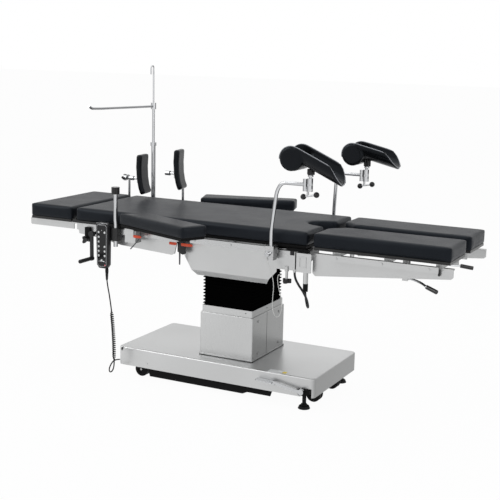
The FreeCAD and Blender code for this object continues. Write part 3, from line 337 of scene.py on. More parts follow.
@dataclass(frozen=True)
class Rubber:
    """Moulded rubber with a dusty bloom in soft patches."""

    name: str
    colour: Point = (0.008, 0.008, 0.009)
    rough: float = 0.55
    bloom: float = 0.006
    shine: float = 0.16
    index: float = 1.4

    def material(self) -> bpy.types.Material:
        """Build the material."""
        g = Graph(self.name)
        fine = g.noise(g.place(), 700.0, 3.0)
        cloud = g.noise(g.place(), 22.0, 4.0)
        dust = tuple(c + self.bloom for c in self.colour)
        g.set(Base_Color=g.mix(cloud, self.colour, dust), Roughness=self.rough + (cloud - 0.5) * 0.2)
        g.dull(self.shine)
        g.shader.inputs["IOR"].default_value = self.index
        g.set(Normal=g.bump(fine, 0.00008))
        return g.material


@dataclass(frozen=True)
class Plastic:
    """Moulded plastic with a spark-eroded texture and faint scuffs."""

    name: str
    colour: Point = (0.012, 0.012, 0.013)
    rough: float = 0.38
    texture: float = 1400.0
    shine: float = 0.35

    def material(self) -> bpy.types.Material:
        """Build the material."""
        g = Graph(self.name)
        fine = g.noise(g.place(), self.texture, 2.0)
        scuff = g.noise(g.place((1.0, 3.0, 1.0)), 45.0, 5.0, 0.7)
        worn = tuple(min(1.0, c * 1.25 + 0.004) for c in self.colour)
        g.set(Base_Color=g.mix(scuff, self.colour, worn), Roughness=self.rough + (scuff - 0.5) * 0.2)
        g.dull(self.shine)
        g.set(Normal=g.bump(fine, 0.00005))
        return g.material


@dataclass(frozen=True)
class Paint:
    """Sprayed paint on welded steel: orange peel and slightly worn colour."""

    name: str
    colour: Point = (0.01, 0.01, 0.011)
    rough: float = 0.42

    def material(self) -> bpy.types.Material:
        """Build the material."""
        g = Graph(self.name)
        peel = g.noise(g.place(), 350.0, 2.0)
        patch = g.noise(g.place(), 12.0, 5.0)
        g.set(Base_Color=g.mix(patch, self.colour, tuple(c * 1.4 + 0.003 for c in self.colour)))
        g.set(Roughness=self.rough + (patch - 0.5) * 0.18, Normal=g.bump(peel, 0.00006))
        g.dull(0.1)
        return g.material


class Bench:
    """Modelling steps shared by the sub-assemblies, done with the operators used by hand."""

    @staticmethod
    def clear() -> None:
        """Deselect everything."""
        if bpy.context.mode != "OBJECT":
            bpy.ops.object.mode_set(mode="OBJECT")
        bpy.ops.object.select_all(action="DESELECT")

    @staticmethod
    def pick(obj: bpy.types.Object) -> None:
        """Select one object and make it active."""
        Bench.clear()
        obj.select_set(True)
        bpy.context.view_layer.objects.active = obj

    @staticmethod
    def named(name: str) -> bpy.types.Object:
        """Name the active object and its mesh, and put its place into its mesh."""
        obj = bpy.context.active_object
        obj.name = name
        obj.data.name = name
        Bench.settle(obj)
        return obj

    @staticmethod
    def settle(obj: bpy.types.Object) -> None:
        """Apply an object's place, turn and size to its mesh."""
        Bench.pick(obj)
        bpy.ops.object.transform_apply(location=True, rotation=True, scale=True)

    @staticmethod
    def box(name: str, low: Point, high: Point) -> bpy.types.Object:
        """Cube between two corners, in millimetres."""
        Bench.clear()
        centre = [(a + b) / 2 * MM for a, b in zip(low, high)]
        bpy.ops.mesh.primitive_cube_add(size=1.0, location=centre)
        bpy.context.active_object.scale = [(b - a) * MM for a, b in zip(low, high)]
        return Bench.named(name)

    @staticmethod
    def rod(name: str, start: Point, end: Point, radius: float, sides: int = 24,
            tip: float | None = None) -> bpy.types.Object:
        """Cylinder or cone between two points, in millimetres.

        Args:
            name: the piece's name.
            start: centre of the first end.
            end: centre of the other end.
            radius: radius at the first end.
            sides: number of side faces.
            tip: radius at the other end, if it differs.

        Returns:
            The finished object.
        """
        Bench.clear()
        a, b = Vector(start) * MM, Vector(end) * MM
        turn = (b - a).to_track_quat("Z", "Y").to_euler()
        bpy.ops.mesh.primitive_cone_add(
            vertices=sides, radius1=radius * MM, radius2=(radius if tip is None else tip) * MM,
            depth=(b - a).length, location=(a + b) / 2, rotation=turn)
        return Bench.named(name)

    @staticmethod
    def plate(name: str, outline: list, normal: str, low: float, high: float) -> bpy.types.Object:
        """Plate on an outline, extruded along an axis.

        Args:
            name: the piece's name.
            outline: corner pairs in millimetres, in the order of the two other axes.
            normal: axis of the extrusion, x, y or z.
            low: where it starts, in millimetres.
            high: where it ends.

        Returns:
            The finished object.
        """
        Bench.clear()
        bpy.ops.mesh.primitive_circle_add(vertices=len(outline), radius=1.0, fill_type="NGON")
        obj = bpy.context.active_object
        axes = {"x": (1, 2), "y": (0, 2), "z": (0, 1)}[normal]
        along = "xyz".index(normal)
        for vertex, (u, v) in zip(obj.data.vertices, outline):
            spot = [0.0, 0.0, 0.0]
            spot[along] = low * MM
            spot[axes[0]] = u * MM
            spot[axes[1]] = v * MM
            vertex.co = spot
        move = [0.0, 0.0, 0.0]
        move[along] = (high - low) * MM
        bpy.ops.object.mode_set(mode="EDIT")
        bpy.ops.mesh.select_all(action="SELECT")
        bpy.ops.mesh.extrude_region_move(TRANSFORM_OT_translate={"value": move})
        bpy.ops.mesh.select_all(action="SELECT")
        bpy.ops.mesh.normals_make_consistent(inside=False)
        bpy.ops.object.mode_set(mode="OBJECT")
        return Bench.named(name)

    @staticmethod
    def modify(obj: bpy.types.Object, kind: str, **settings: object) -> None:
        """Add a modifier and apply it."""
        Bench.pick(obj)
        made = obj.modifiers.new(kind.lower(), kind)
        for key, value in settings.items():
            setattr(made, key, value)
        bpy.ops.object.modifier_apply(modifier=made.name)

    @staticmethod
    def bevel(obj: bpy.types.Object, width: float, segments: int = 2, angle: float = 40.0) -> None:
        """Round the edges sharper than an angle. width is in millimetres."""
        Bench.modify(obj, "BEVEL", width=width * MM, segments=segments, limit_method="ANGLE",
                     angle_limit=math.radians(angle), harden_normals=False)

    @staticmethod
    def smooth(obj: bpy.types.Object, angle: float = 40.0) -> None:
        """Shade smooth, with edges over an angle kept sharp."""
        Bench.pick(obj)
        bpy.ops.object.shade_smooth_by_angle(angle=math.radians(angle))

    @staticmethod
    def join(name: str, parts: list[bpy.types.Object]) -> bpy.types.Object:
        """Join objects into one."""
        Bench.clear()
        for part in parts:
            part.select_set(True)
        bpy.context.view_layer.objects.active = parts[0]
        if len(parts) > 1:
            bpy.ops.object.join()
        return Bench.named(name)

    @staticmethod
    def copy(obj: bpy.types.Object, name: str, shift: Point = (0.0, 0.0, 0.0)) -> bpy.types.Object:
        """Copy an object with its own mesh, moved by millimetres."""
        twin = obj.copy()
        twin.data = obj.data.copy()
        twin.name = name
        bpy.context.collection.objects.link(twin)
        twin.data.transform(Matrix.Translation(Vector(shift) * MM))
        return twin

    @staticmethod
    def finish(obj: bpy.types.Object, finish: "Finish", body: str, slot: str) -> bpy.types.Object:
        """Give a piece its finish and its body, and log it.

        Args:
            obj: the piece.
            finish: which finish it gets.
            body: the body that it rides on.
            slot: the record's material slot; not used.

        Returns:
            The same object.
        """
        obj.data.materials.clear()
        obj.data.materials.append(finish.material)
        if body:
            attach(obj, body)
        LOG.info("piece %s on %s", obj.name, body or "two bodies")
        return obj


class Finish(Enum):
    """Every finish of the table."""

    SHEET_X = Steel("sheet_steel_x", Grain.ALONG_X)
    SHEET_Z = Steel("sheet_steel_z", Grain.ALONG_Z, rough=0.3)
    BAR = Steel("rail_steel", Grain.ALONG_X, (0.66, 0.665, 0.67), 0.26, 0.92)
    ZINC = Steel("plated_steel", Grain.ALONG_Z, (0.5, 0.5, 0.5), 0.4, 0.9)
    CHROME = Chrome()
    PAD = Vinyl("pad_cover", (0.0045, 0.0056, 0.0078), shine=0.16)
    ARM_PAD = Vinyl("arm_pad_cover", (0.005, 0.006, 0.008), 0.47, shine=0.16)
    SHELL = Vinyl("shell_cover", (0.002, 0.0021, 0.0027), 0.3, 1200.0, 0.00006, 0.16)
    BELLOWS = Rubber("bellows_rubber", (0.0012, 0.0012, 0.0013), 0.6, 0.001, 0.02, 1.08)
    TYRE = Rubber("tyre_rubber", (0.006, 0.006, 0.0065), 0.6, 0.008)
    FOOT = Rubber("foot_rubber")
    BLACK = Plastic("black_plastic")
    GREY = Plastic("grey_plastic", (0.09, 0.09, 0.095))
    KEY = Plastic("key_plastic", (0.75, 0.76, 0.75), 0.35, shine=0.5)
    PANEL = Plastic("panel_film", (0.006, 0.006, 0.007), 0.22, 2400.0)
    ROSE = Plastic("rose_lamp", (0.75, 0.12, 0.16), 0.3)
    RED = Plastic("red_plastic", (0.78, 0.09, 0.035), 0.35)
    YELLOW = Plastic("yellow_plastic", (0.85, 0.62, 0.05), 0.4)
    PALE = Plastic("pale_plate", (0.7, 0.71, 0.71), 0.4)
    DARK = Paint("black_paint", (0.002, 0.002, 0.0022), 0.55)
    CLAMP = Steel("clamp_finish", Grain.ALONG_X, black=(0, -1.0, -0.43))
    LEVER = Chrome("lever_chrome", black=(0, 1.0, 0.985))
    EDGED = Steel("edged_steel", Grain.ALONG_X, black=(2, 1.0, 0.7215))
    POST = Chrome("post_chrome", black=(2, 1.0, 0.8845))
    WELT = Plastic("welt", (0.30, 0.31, 0.33), 0.4)
    # Black for the hub windows, seams and hole, and also for painted shadows in gaps, creases and recesses.
    BOARD = Plastic("board_edge", (0.006, 0.006, 0.007), 0.5)
    CORD = Rubber("cord_jacket", (0.014, 0.014, 0.015), 0.45)
    CABLE = Rubber("cable_jacket", (0.035, 0.036, 0.038), 0.45)
    TETHER = Plastic("tether_cord", (0.62, 0.62, 0.60), 0.5)

    @property
    def material(self) -> bpy.types.Material:
        """The finish's material, made on first use."""
        made = bpy.data.materials.get(self.value.name + FINISH_ENDING)
        return made or self.value.material()


@dataclass
class Studio:
    """Camera at the photograph's place, soft lamps and a pale floor."""

    eye: Point = (2210.8, -4278.2, 1572.2)
    turn: float = 26.73
    fall: float = 11.09
    roll: float = 1.25
    lens: float = 75.78
    floor: float = 40.0
    key: float = 62.0
    fill: float = 30.0
    ambient: float = 0.45
    pale: float = 0.965

    def build(self) -> None:
        """Make the camera, the lamps, the world and the floor."""
        self._camera()
        self._lamps()
        self._world()
        self._floor()

    def _camera(self) -> None:
        """Place the camera."""
        a, e, r = (math.radians(v) for v in (self.turn, self.fall, self.roll))
        look = Vector((-math.sin(a) * math.cos(e), math.cos(a) * math.cos(e), -math.sin(e)))
        right = Vector((math.cos(a), math.sin(a), 0.0))
        up = right.cross(look)
        cam_x = right * math.cos(r) + up * math.sin(r)
        cam_y = up * math.cos(r) - right * math.sin(r)
        basis = Matrix((cam_x, cam_y, -look)).transposed().to_4x4()
        data = bpy.data.cameras.new("camera")
        data.lens = self.lens
        data.sensor_width = 36.0
        data.clip_end = 100.0
        camera = bpy.data.objects.new("camera", data)
        bpy.context.collection.objects.link(camera)
        camera.matrix_world = Matrix.Translation(Vector(self.eye) * MM) @ basis
        bpy.context.scene.camera = camera

    def _lamp(self, name: str, place: Point, size: float, power: float) -> None:
        """Add one square area lamp that looks at the column."""
        data = bpy.data.lights.new(name, "AREA")
        data.size = size
        data.energy = power
        lamp = bpy.data.objects.new(name, data)
        bpy.context.collection.objects.link(lamp)
        lamp.location = place
        lamp.rotation_euler = (Vector((0.0, 0.0, 0.6)) - Vector(place)).to_track_quat("-Z", "Y").to_euler()

    def _lamps(self) -> None:
        """Key from the upper left, fill from the front and the right, and a rim from behind."""
        self._lamp("lamp_key", (-2.6, -2.4, 3.4), 2.6, self.key)
        self._lamp("lamp_top", (0.3, 0.6, 3.6), 3.2, self.fill)
        self._lamp("lamp_right", (3.4, -1.0, 1.9), 2.2, self.fill * 0.6)

    @staticmethod
    def _seen(tree: bpy.types.NodeTree, share: float) -> bpy.types.NodeSocket:
        """Share of the white backdrop: on camera rays, and on what metal and clear pieces show.

        Args:
            tree: the node tree to add to.
            share: value on those rays.

        Returns:
            The factor's socket.
        """
        path = tree.nodes.new("ShaderNodeLightPath")
        total = path.outputs["Is Camera Ray"]
        for name in ("Is Glossy Ray", "Is Transmission Ray"):
            add = tree.nodes.new("ShaderNodeMath")
            add.operation = "MAXIMUM"
            tree.links.new(total, add.inputs[0])
            tree.links.new(path.outputs[name], add.inputs[1])
            total = add.outputs[0]
        scale = tree.nodes.new("ShaderNodeMath")
        scale.operation = "MULTIPLY"
        scale.inputs[1].default_value = share
        tree.links.new(total, scale.inputs[0])
        return scale.outputs[0]

    def _world(self) -> None:
        """Even soft light, seen as white by the camera and in reflections."""
        world = bpy.data.worlds.new("studio")
        world.use_nodes = True
        bpy.context.scene.world = world
        tree = world.node_tree
        tree.nodes.clear()
        out = tree.nodes.new("ShaderNodeOutputWorld")
        soft = tree.nodes.new("ShaderNodeBackground")
        soft.inputs["Color"].default_value = (0.96, 0.98, 1.0, 1.0)
        soft.inputs["Strength"].default_value = self.ambient
        plain = tree.nodes.new("ShaderNodeBackground")
        plain.inputs["Color"].default_value = (1.0, 1.0, 1.0, 1.0)
        plain.inputs["Strength"].default_value = 1.0
        mix = tree.nodes.new("ShaderNodeMixShader")
        tree.links.new(self._seen(tree, 1.0), mix.inputs[0])
        tree.links.new(soft.outputs[0], mix.inputs[1])
        tree.links.new(plain.outputs[0], mix.inputs[2])
        tree.links.new(mix.outputs[0], out.inputs["Surface"])

    def _floor(self) -> None:
        """Pale floor that melts into the backdrop but keeps a soft shadow."""
        Bench.clear()
        bpy.ops.mesh.primitive_grid_add(x_subdivisions=4, y_subdivisions=4, size=2 * self.floor)
        floor = Bench.named("floor")
        g = Graph("floor_paint")
        tree = g.tree
        g.set(Base_Color=(0.86, 0.865, 0.87), Roughness=0.7)
        glow = tree.nodes.new("ShaderNodeEmission")
        glow.inputs["Color"].default_value = (1.0, 1.0, 1.0, 1.0)
        glow.inputs["Strength"].default_value = 1.0
        mix = tree.nodes.new("ShaderNodeMixShader")
        out = next(n for n in tree.nodes if n.type == "OUTPUT_MATERIAL")
        tree.links.new(self._seen(tree, self.pale), mix.inputs[0])
        tree.links.new(g.shader.outputs[0], mix.inputs[1])
        tree.links.new(glow.outputs[0], mix.inputs[2])
        tree.links.new(mix.outputs[0], out.inputs["Surface"])
        floor.data.materials.append(g.material)


@dataclass
class Dressing:
    """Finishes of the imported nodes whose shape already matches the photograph."""

    table: dict[str, Finish] = field(default_factory=lambda: {
        "base_cover": Finish.SHEET_X,
        "base_frame": Finish.DARK,
        "column_cover": Finish.SHEET_Z,
        "brake_pedal": Finish.CHROME,
        "leveling_feet": Finish.FOOT,
        "lift_column": Finish.ZINC,
        "column_head": Finish.DARK,
        "tilt_cross": Finish.ZINC,
        "seat_frame": Finish.DARK,
        "seat_skirt": Finish.SHEET_X,
        "seat_rails": Finish.BAR,
        "joint_covers": Finish.SHEET_Z,
        "back_frame": Finish.EDGED,
        "back_rails": Finish.BAR,
        "rail_clamps": Finish.CLAMP,
        "head_gearbox": Finish.DARK,
        "crank": Finish.BLACK,
        "crank_grip": Finish.BLACK,
        "head_frame": Finish.EDGED,
        "handset": Finish.BLACK,
        "front_post": Finish.POST,
        "shoulder_supports": Finish.CHROME,
        "screen_tube": Finish.CHROME,
        "screen_rod": Finish.CHROME,
    })
    sided: dict[str, Finish] = field(default_factory=lambda: {
        "leg_knob": Finish.BLACK,
        "leg_hub": Finish.SHEET_Z,
        "leg_frame": Finish.EDGED,
        "leg_lever": Finish.LEVER,
        "arm_board": Finish.DARK,
        "crutch_post": Finish.CHROME,
    })

    def build(self) -> None:
        """Put each finish into its node's slots."""
        for node, finish in self.table.items():
            self.dress(node, finish)
        for stem, finish in self.sided.items():
            for side in Side:
                self.dress(f"{stem}_{side.tag}", finish)
        for number in range(1, 5):
            self.dress(f"caster_fork_{number}", Finish.ZINC)
            self.dress(f"caster_wheels_{number}", Finish.TYRE)

    @staticmethod
    def dress(node: str, finish: Finish) -> None:
        """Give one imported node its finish."""
        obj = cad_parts[node]
        for slot in obj.material_slots:
            slot.material = finish.material
        LOG.info("node %s in %s", node, finish.value.name)


def inset(outline: list, distance: float) -> list:
    """Move each side of a closed outline inwards.

    Args:
        outline: corner pairs in millimetres.
        distance: how far each side moves in.

    Returns:
        The corners of the smaller outline, in the same order.
    """
    count = len(outline)
    area = sum(outline[i - 1][0] * outline[i][1] - outline[i][0] * outline[i - 1][1] for i in range(count))
    sign = 1.0 if area > 0 else -1.0
    moved = []
    for i in range(count):
        before, here, after = outline[i - 1], outline[i], outline[(i + 1) % count]
        u = Vector((here[0] - before[0], here[1] - before[1])).normalized()
        v = Vector((after[0] - here[0], after[1] - here[1])).normalized()
        n = Vector((-u.y, u.x)) * sign
        m = Vector((-v.y, v.x)) * sign
        bisector = (n + m) / max(0.2, 1.0 + n.dot(m))
        moved.append((here[0] + bisector.x * distance, here[1] + bisector.y * distance))
    return moved


@dataclass
class Cushion:
    """Foam cushion in a seamless coated cover, on its board."""

    name: str
    outline: list
    low: float
    high: float
    node: str
    body: str
    finish: Finish = Finish.PAD
    slot: str = "pad_vinyl"
    voxel: float = 5.0
    swell: float = 1.6
    corner: float = 6.0
    edge: float = 4.0
    fill: float = 0.9
    steps: int = 7
    others: tuple = ()
    hinge: tuple | None = None

    def build(self) -> bpy.types.Object:
        """Make the cushion.

        Returns:
            The finished object.
        """
        outline = inset(self.outline, self.swell)
        pad = Bench.plate(self.name, outline, "z", self.low + 0.5, self.high - self.swell)
        self._round(pad)
        self._remesh(pad)
        rest = [v.co.copy() for v in pad.data.vertices]
        self._puff(pad)
        self._cap(pad, rest)
        Bench.modify(pad, "CORRECTIVE_SMOOTH", iterations=1, use_only_smooth=True)
        Bench.smooth(pad, 60.0)
        Bench.finish(pad, self.finish, "" if self.hinge else self.body, self.slot)
        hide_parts(self.node, *self.others)
        if self.hinge:
            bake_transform(pad)
        return pad

    def _round(self, pad: bpy.types.Object) -> None:
        """Round the upright corners, then the rims."""
        Bench.pick(pad)
        bpy.ops.object.mode_set(mode="EDIT")
        bpy.ops.mesh.select_mode(type="EDGE")
        bpy.ops.mesh.select_all(action="DESELECT")
        bpy.ops.object.mode_set(mode="OBJECT")
        for edge in pad.data.edges:
            a, b = (pad.data.vertices[i].co for i in edge.vertices)
            edge.select = abs(a.z - b.z) > 0.01
        bpy.ops.object.mode_set(mode="EDIT")
        bpy.ops.mesh.bevel(offset=self.corner * MM, segments=4, affect="EDGES")
        bpy.ops.object.mode_set(mode="OBJECT")
        Bench.bevel(pad, self.edge, 4, 50.0)

    def _remesh(self, pad: bpy.types.Object) -> None:
        """Turn the block into even small faces."""
        Bench.modify(pad, "REMESH", mode="VOXEL", voxel_size=self.voxel * MM, adaptivity=0.0, use_smooth_shade=True)

    def _puff(self, pad: bpy.types.Object) -> None:
        """Blow the cover up slightly with the cloth solver."""
        Bench.pick(pad)
        cloth = pad.modifiers.new("cover", "CLOTH")
        cloth.settings.use_pressure = True
        cloth.settings.uniform_pressure_force = 4.0
        cloth.settings.quality = 3
        cloth.settings.effector_weights.gravity = 0.0
        cloth.point_cache.frame_start = 1
        cloth.point_cache.frame_end = self.steps
        for step in range(1, self.steps + 1):
            bpy.context.scene.frame_set(step)
        bpy.ops.object.modifier_apply(modifier="cover")
        bpy.context.scene.frame_set(1)

    def _cap(self, pad: bpy.types.Object, rest: list) -> None:
        """Limit how far the cover moved, and keep the underside flat on its board."""
        most = self.swell * 1.4 * MM
        for vertex, old in zip(pad.data.vertices, rest):
            move = vertex.co - old
            if move.length > most:
                move *= most / move.length
            spot = old + move
            if old.z < (self.low + 3.0) * MM:
                spot = old.copy()
            vertex.co = (spot.x, spot.y, min(max(spot.z, self.low * MM), (self.high + 2.5) * MM))


@dataclass
class TableTop:
    """Head, back and seat, and leg cushions."""

    half: float = 260.0
    low: float = 734.0
    high: float = 794.0
    head: tuple = (-1006.0, -766.0)
    main: tuple = (-741.0, 457.0)
    leg: tuple = (482.0, 1083.0)
    gap: float = 36.0

    def build(self) -> list[bpy.types.Object]:
        """Make the cushions.

        Returns:
            The finished objects.
        """
        h = self.half
        a, b = self.head
        plan = [(a, -h), (b, -h), (b, h), (a, h)]
        pads = [Cushion("head_pad", plan, self.low, self.high, "head_cushion", "head").build()]
        pads.append(self._main())
        for side in Side:
            s = side.value
            x0, x1 = self.leg
            plan = [(x0, h * s), (x1, h * s), (x1, self.gap * s), (x0 + 73, self.gap * s), (x0, 100.0 * s)]
            pads.append(Cushion(f"leg_pad_{side.tag}", plan, self.low, self.high, f"leg_cushion_{side.tag}",
                                f"leg_{side.tag}").build())
        return pads

    def _main(self) -> bpy.types.Object:
        """One cushion over seat and back, across the back hinge."""
        h = self.half
        x0, x1 = self.main
        plan = [(x0, -h), (x1, -h), (x1, -75), (377, -44), (357, -22), (351, 0), (357, 22), (377, 44), (x1, 75),
                (x1, h), (x0, h)]
        hinge = ("seat", "back", (-0.08, 0.0, 0.76), (-0.22, 0.0, 0.76))
        return Cushion("main_pad", plan, self.low, self.high, "seat_cushion", "seat", voxel=6.0,
                       others=("back_cushion",), hinge=hinge).build()


@dataclass
class ArmBoards:
    """Cushions of the two arm boards."""

    low: float = 757.0
    high: float = 807.0
    plans: dict[Side, list] = field(default_factory=lambda: {
        Side.FRONT: [(-439, -350), (-6, -513), (54, -402), (-320, -262)],
        Side.REAR: [(-427, 428), (40, 559), (67, 465), (-378, 290)],
    })

    def build(self) -> list[bpy.types.Object]:
        """Make both cushions.

        Returns:
            The finished objects.
        """
        return [Cushion(f"arm_pad_{side.tag}", plan, self.low, self.high, f"arm_cushion_{side.tag}",
                        f"arm_{side.tag}", finish=Finish.ARM_PAD, slot="arm_vinyl", corner=9.0, edge=4.5,
                        voxel=5.0).build()
                for side, plan in self.plans.items()]


@dataclass
class Cord:
    """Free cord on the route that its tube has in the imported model."""

    name: str
    points: list
    radius: float
    body: str
    node: str
    finish: Finish
    slot: str
    far_end: str = "object"
    stiffness: str = "medium"
    lay: str = "hanging"
    length: float = 0.0
    thin: float = 0.001

    def curve(self, points: list, name: str, radius: float) -> bpy.types.Object:
        """Make one smooth curve.

        Args:
            points: control points in millimetres.
            name: the curve's name.
            radius: half of the cord's diameter, in millimetres.

        Returns:
            The curve object.
        """
        data = bpy.data.curves.new(name, "CURVE")
        data.dimensions = "3D"
        spline = data.splines.new("NURBS")
        spline.points.add(len(points) - 1)
        for point, spot in zip(spline.points, points):
            point.co = (*[v * MM for v in spot], 1.0)
            point.radius = self.thin
        spline.order_u = 3
        spline.use_endpoint_u = True
        spline.resolution_u = 8
        data.bevel_depth = radius * MM / self.thin
        data.bevel_resolution = 3
        data.use_fill_caps = True
        obj = bpy.data.objects.new(name, data)
        bpy.context.collection.objects.link(obj)
        return obj

    @staticmethod
    def measure(obj: bpy.types.Object) -> float:
        """Length of a curve in metres, from its line without thickness."""
        depth = obj.data.bevel_depth
        obj.data.bevel_depth = 0.0
        bpy.context.view_layer.update()
        line = bpy.data.meshes.new_from_object(obj.evaluated_get(bpy.context.evaluated_depsgraph_get()))
        spots = [v.co.copy() for v in line.vertices]
        obj.data.bevel_depth = depth
        bpy.data.meshes.remove(line)
        return sum((b - a).length for a, b in zip(spots, spots[1:]))

    def build(self) -> bpy.types.Object:
        """Returns:
            The curve object.
        """
        obj = self.curve(self.points, self.name, self.radius)
        Bench.finish(obj, self.finish, self.body, self.slot)
        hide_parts(self.node)
        length = self.length or self.measure(obj)
        tuple(v * MM for v in self.points[0])
        2 * self.radius * MM
        LOG.info("cord %s is %.0f mm long", self.name, length * 1000)
        return obj


@dataclass
class Cords:
    """The cords that the photograph shows: handset cord, joint cable and clamp tether."""

    upper: tuple = ((-524, -318, 481.7), (-519, -319, 452), (-511, -320, 420), (-504, -320, 380), (-498, -320, 340))
    middle: tuple = ((-498, -320, 340), (-492, -320, 285), (-487, -320, 225), (-484, -320, 160), (-484, -320, 98))
    lower: tuple = ((-484, -320, 98), (-484, -320, 72), (-496, -317, 44), (-522, -302, 30), (-542, -278, 38),
                    (-545, -254, 58), (-534, -242, 75), (-507, -240, 80))
    cable: tuple = ((402, -257, 616), (402, -257, 596), (417, -252, 564), (438, -240, 530), (447, -220, 494),
                    (440, -186, 456), (420, -144, 436), (392, -96, 440), (366, -50, 462), (341, -6, 500),
                    (321, 42, 548), (307, 92, 596), (300, 136, 646), (300, 136, 690))
    tether: tuple = ((288, -315, 704), (293, -318, 682), (304, -319, 655), (317, -318, 624), (328, -316, 590),
                     (331, -312, 552), (325, -307, 512), (321, -302, 472), (326, -300, 434), (344, -298, 414),
                     (360, -296, 436), (364, -295, 474), (358, -296, 514), (346, -298, 552), (340, -298, 590),
                     (346, -296, 612), (358, -294, 600))
    turns: int = 26
    helix: float = 6.0
    per_turn: int = 12

    def build(self) -> None:
        """Make every cord."""
        Cord("handset_cord_upper", list(self.upper), 3.0, "back", "handset_cord", Finish.CORD, "cord_black").build()
        self._curl()
        Cord("handset_cord_lower", list(self.lower), 3.0, "base", "handset_lead", Finish.CORD, "cord_black").build()
        Cord("supply_cable", list(self.cable), 5.0, "seat", "joint_cable", Finish.CABLE, "cord_black").build()
        Cord("tether", list(self.tether), 1.5, "seat", "clamp_tether", Finish.TETHER, "cord_white",
             stiffness="limp").build()

    def _curl(self) -> None:
        """Make the curly stretch as a helix round its own line, from the back section to the base."""
        guide = Cord("curl_guide", list(self.middle), 1.0, "", "", Finish.CORD, "")
        line = guide.curve(guide.points, guide.name, 0.0)
        bpy.context.view_layer.update()
        mesh = bpy.data.meshes.new_from_object(line.evaluated_get(bpy.context.evaluated_depsgraph_get()))
        spots = [v.co.copy() / MM for v in mesh.vertices]
        bpy.data.objects.remove(line, do_unlink=True)
        lengths = [0.0]
        for a, b in zip(spots, spots[1:]):
            lengths.append(lengths[-1] + (b - a).length)
        total = lengths[-1]
        count = self.turns * self.per_turn
        points = []
        for i in range(count + 1):
            share = i / count
            at = share * total
            k = max(j for j in range(len(lengths) - 1) if lengths[j] <= at + 1e-6)
            spot = spots[k].lerp(spots[k + 1], (at - lengths[k]) / (lengths[k + 1] - lengths[k]))
            reach = self.helix * min(1.0, 12 * share, 12 * (1 - share))
            angle = 2 * math.pi * self.turns * share
            points.append((spot.x + reach * math.cos(angle), spot.y + reach * math.sin(angle), spot.z))
        cord = Cord("handset_cord_curl", points, 3.0, "", "handset_coil", Finish.CORD, "cord_black", lay="coiled")
        obj = cord.curve(points, cord.name, cord.radius)
        Bench.finish(obj, cord.finish, "base", cord.slot)
        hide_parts(cord.node)
        tuple(v * MM for v in points[0])
        Cord.measure(obj)
        2 * cord.radius * MM


@dataclass
class Bellows:
    """Folded rubber sleeve over the lifting column, stretched between its two ends."""

    centre: float = 23.5
    half_x: float = 130.5
    half_y: float = 158.5
    depth: float = 7.0
    low: float = 387.0
    high: float = 570.0
    folds: int = 12
    corner: float = 14.0

    def ring(self, inset_by: float) -> list:
        """Rounded rectangle of the sleeve at one height, 5 points to a corner."""
        hx, hy, r = self.half_x - inset_by, self.half_y - inset_by, self.corner
        spots = []
        for k, (sx, sy) in enumerate(((1, 1), (-1, 1), (-1, -1), (1, -1))):
            for j in range(5):
                a = math.radians(90 * k + 22.5 * j)
                spots.append((self.centre + sx * (hx - r) + r * math.cos(a), sy * (hy - r) + r * math.sin(a)))
        return spots

    def build(self) -> bpy.types.Object:
        """Extrude fold after fold and close the ends.

        Returns:
            The sleeve.
        """
        steps = []
        pitch = (self.high - self.low) / self.folds
        for i in range(self.folds):
            z = self.low + i * pitch
            steps += [(self.depth, z), (self.depth * 0.93, z + pitch * 0.2), (self.depth * 0.16, z + pitch * 0.42),
                      (0.0, z + pitch * 0.5), (self.depth * 0.16, z + pitch * 0.58),
                      (self.depth * 0.93, z + pitch * 0.8)]
        steps.append((self.depth, self.high))
        Bench.clear()
        bpy.ops.mesh.primitive_circle_add(vertices=20, radius=1.0, fill_type="NGON")
        obj = bpy.context.active_object
        obj.name = "bellows_sleeve"
        bpy.ops.object.mode_set(mode="EDIT")
        bpy.ops.mesh.select_all(action="SELECT")
        for _ in steps[1:]:
            bpy.ops.mesh.extrude_region_move(TRANSFORM_OT_translate={"value": (0.0, 0.0, 0.001)})
        bpy.ops.object.mode_set(mode="OBJECT")
        levels = sorted({round(v.co.z, 5) for v in obj.data.vertices})
        order: dict[float, list] = {level: [] for level in levels}
        for v in obj.data.vertices:
            order[round(v.co.z, 5)].append(v)
        for level, (inset_by, z) in zip(levels, steps):
            row = sorted(order[level], key=lambda v: math.atan2(v.co.y, v.co.x) % (2 * math.pi))
            for v, (x, y) in zip(row, self.ring(inset_by)):
                v.co = (x * MM, y * MM, z * MM)
        Bench.pick(obj)
        bpy.ops.object.mode_set(mode="EDIT")
        bpy.ops.mesh.select_all(action="SELECT")
        bpy.ops.mesh.normals_make_consistent(inside=False)
        bpy.ops.object.mode_set(mode="OBJECT")
        Bench.smooth(obj, 70.0)
        Bench.finish(obj, Finish.BELLOWS, "", "bellows_rubber")
        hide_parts("bellows")
        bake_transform(obj)
        return obj


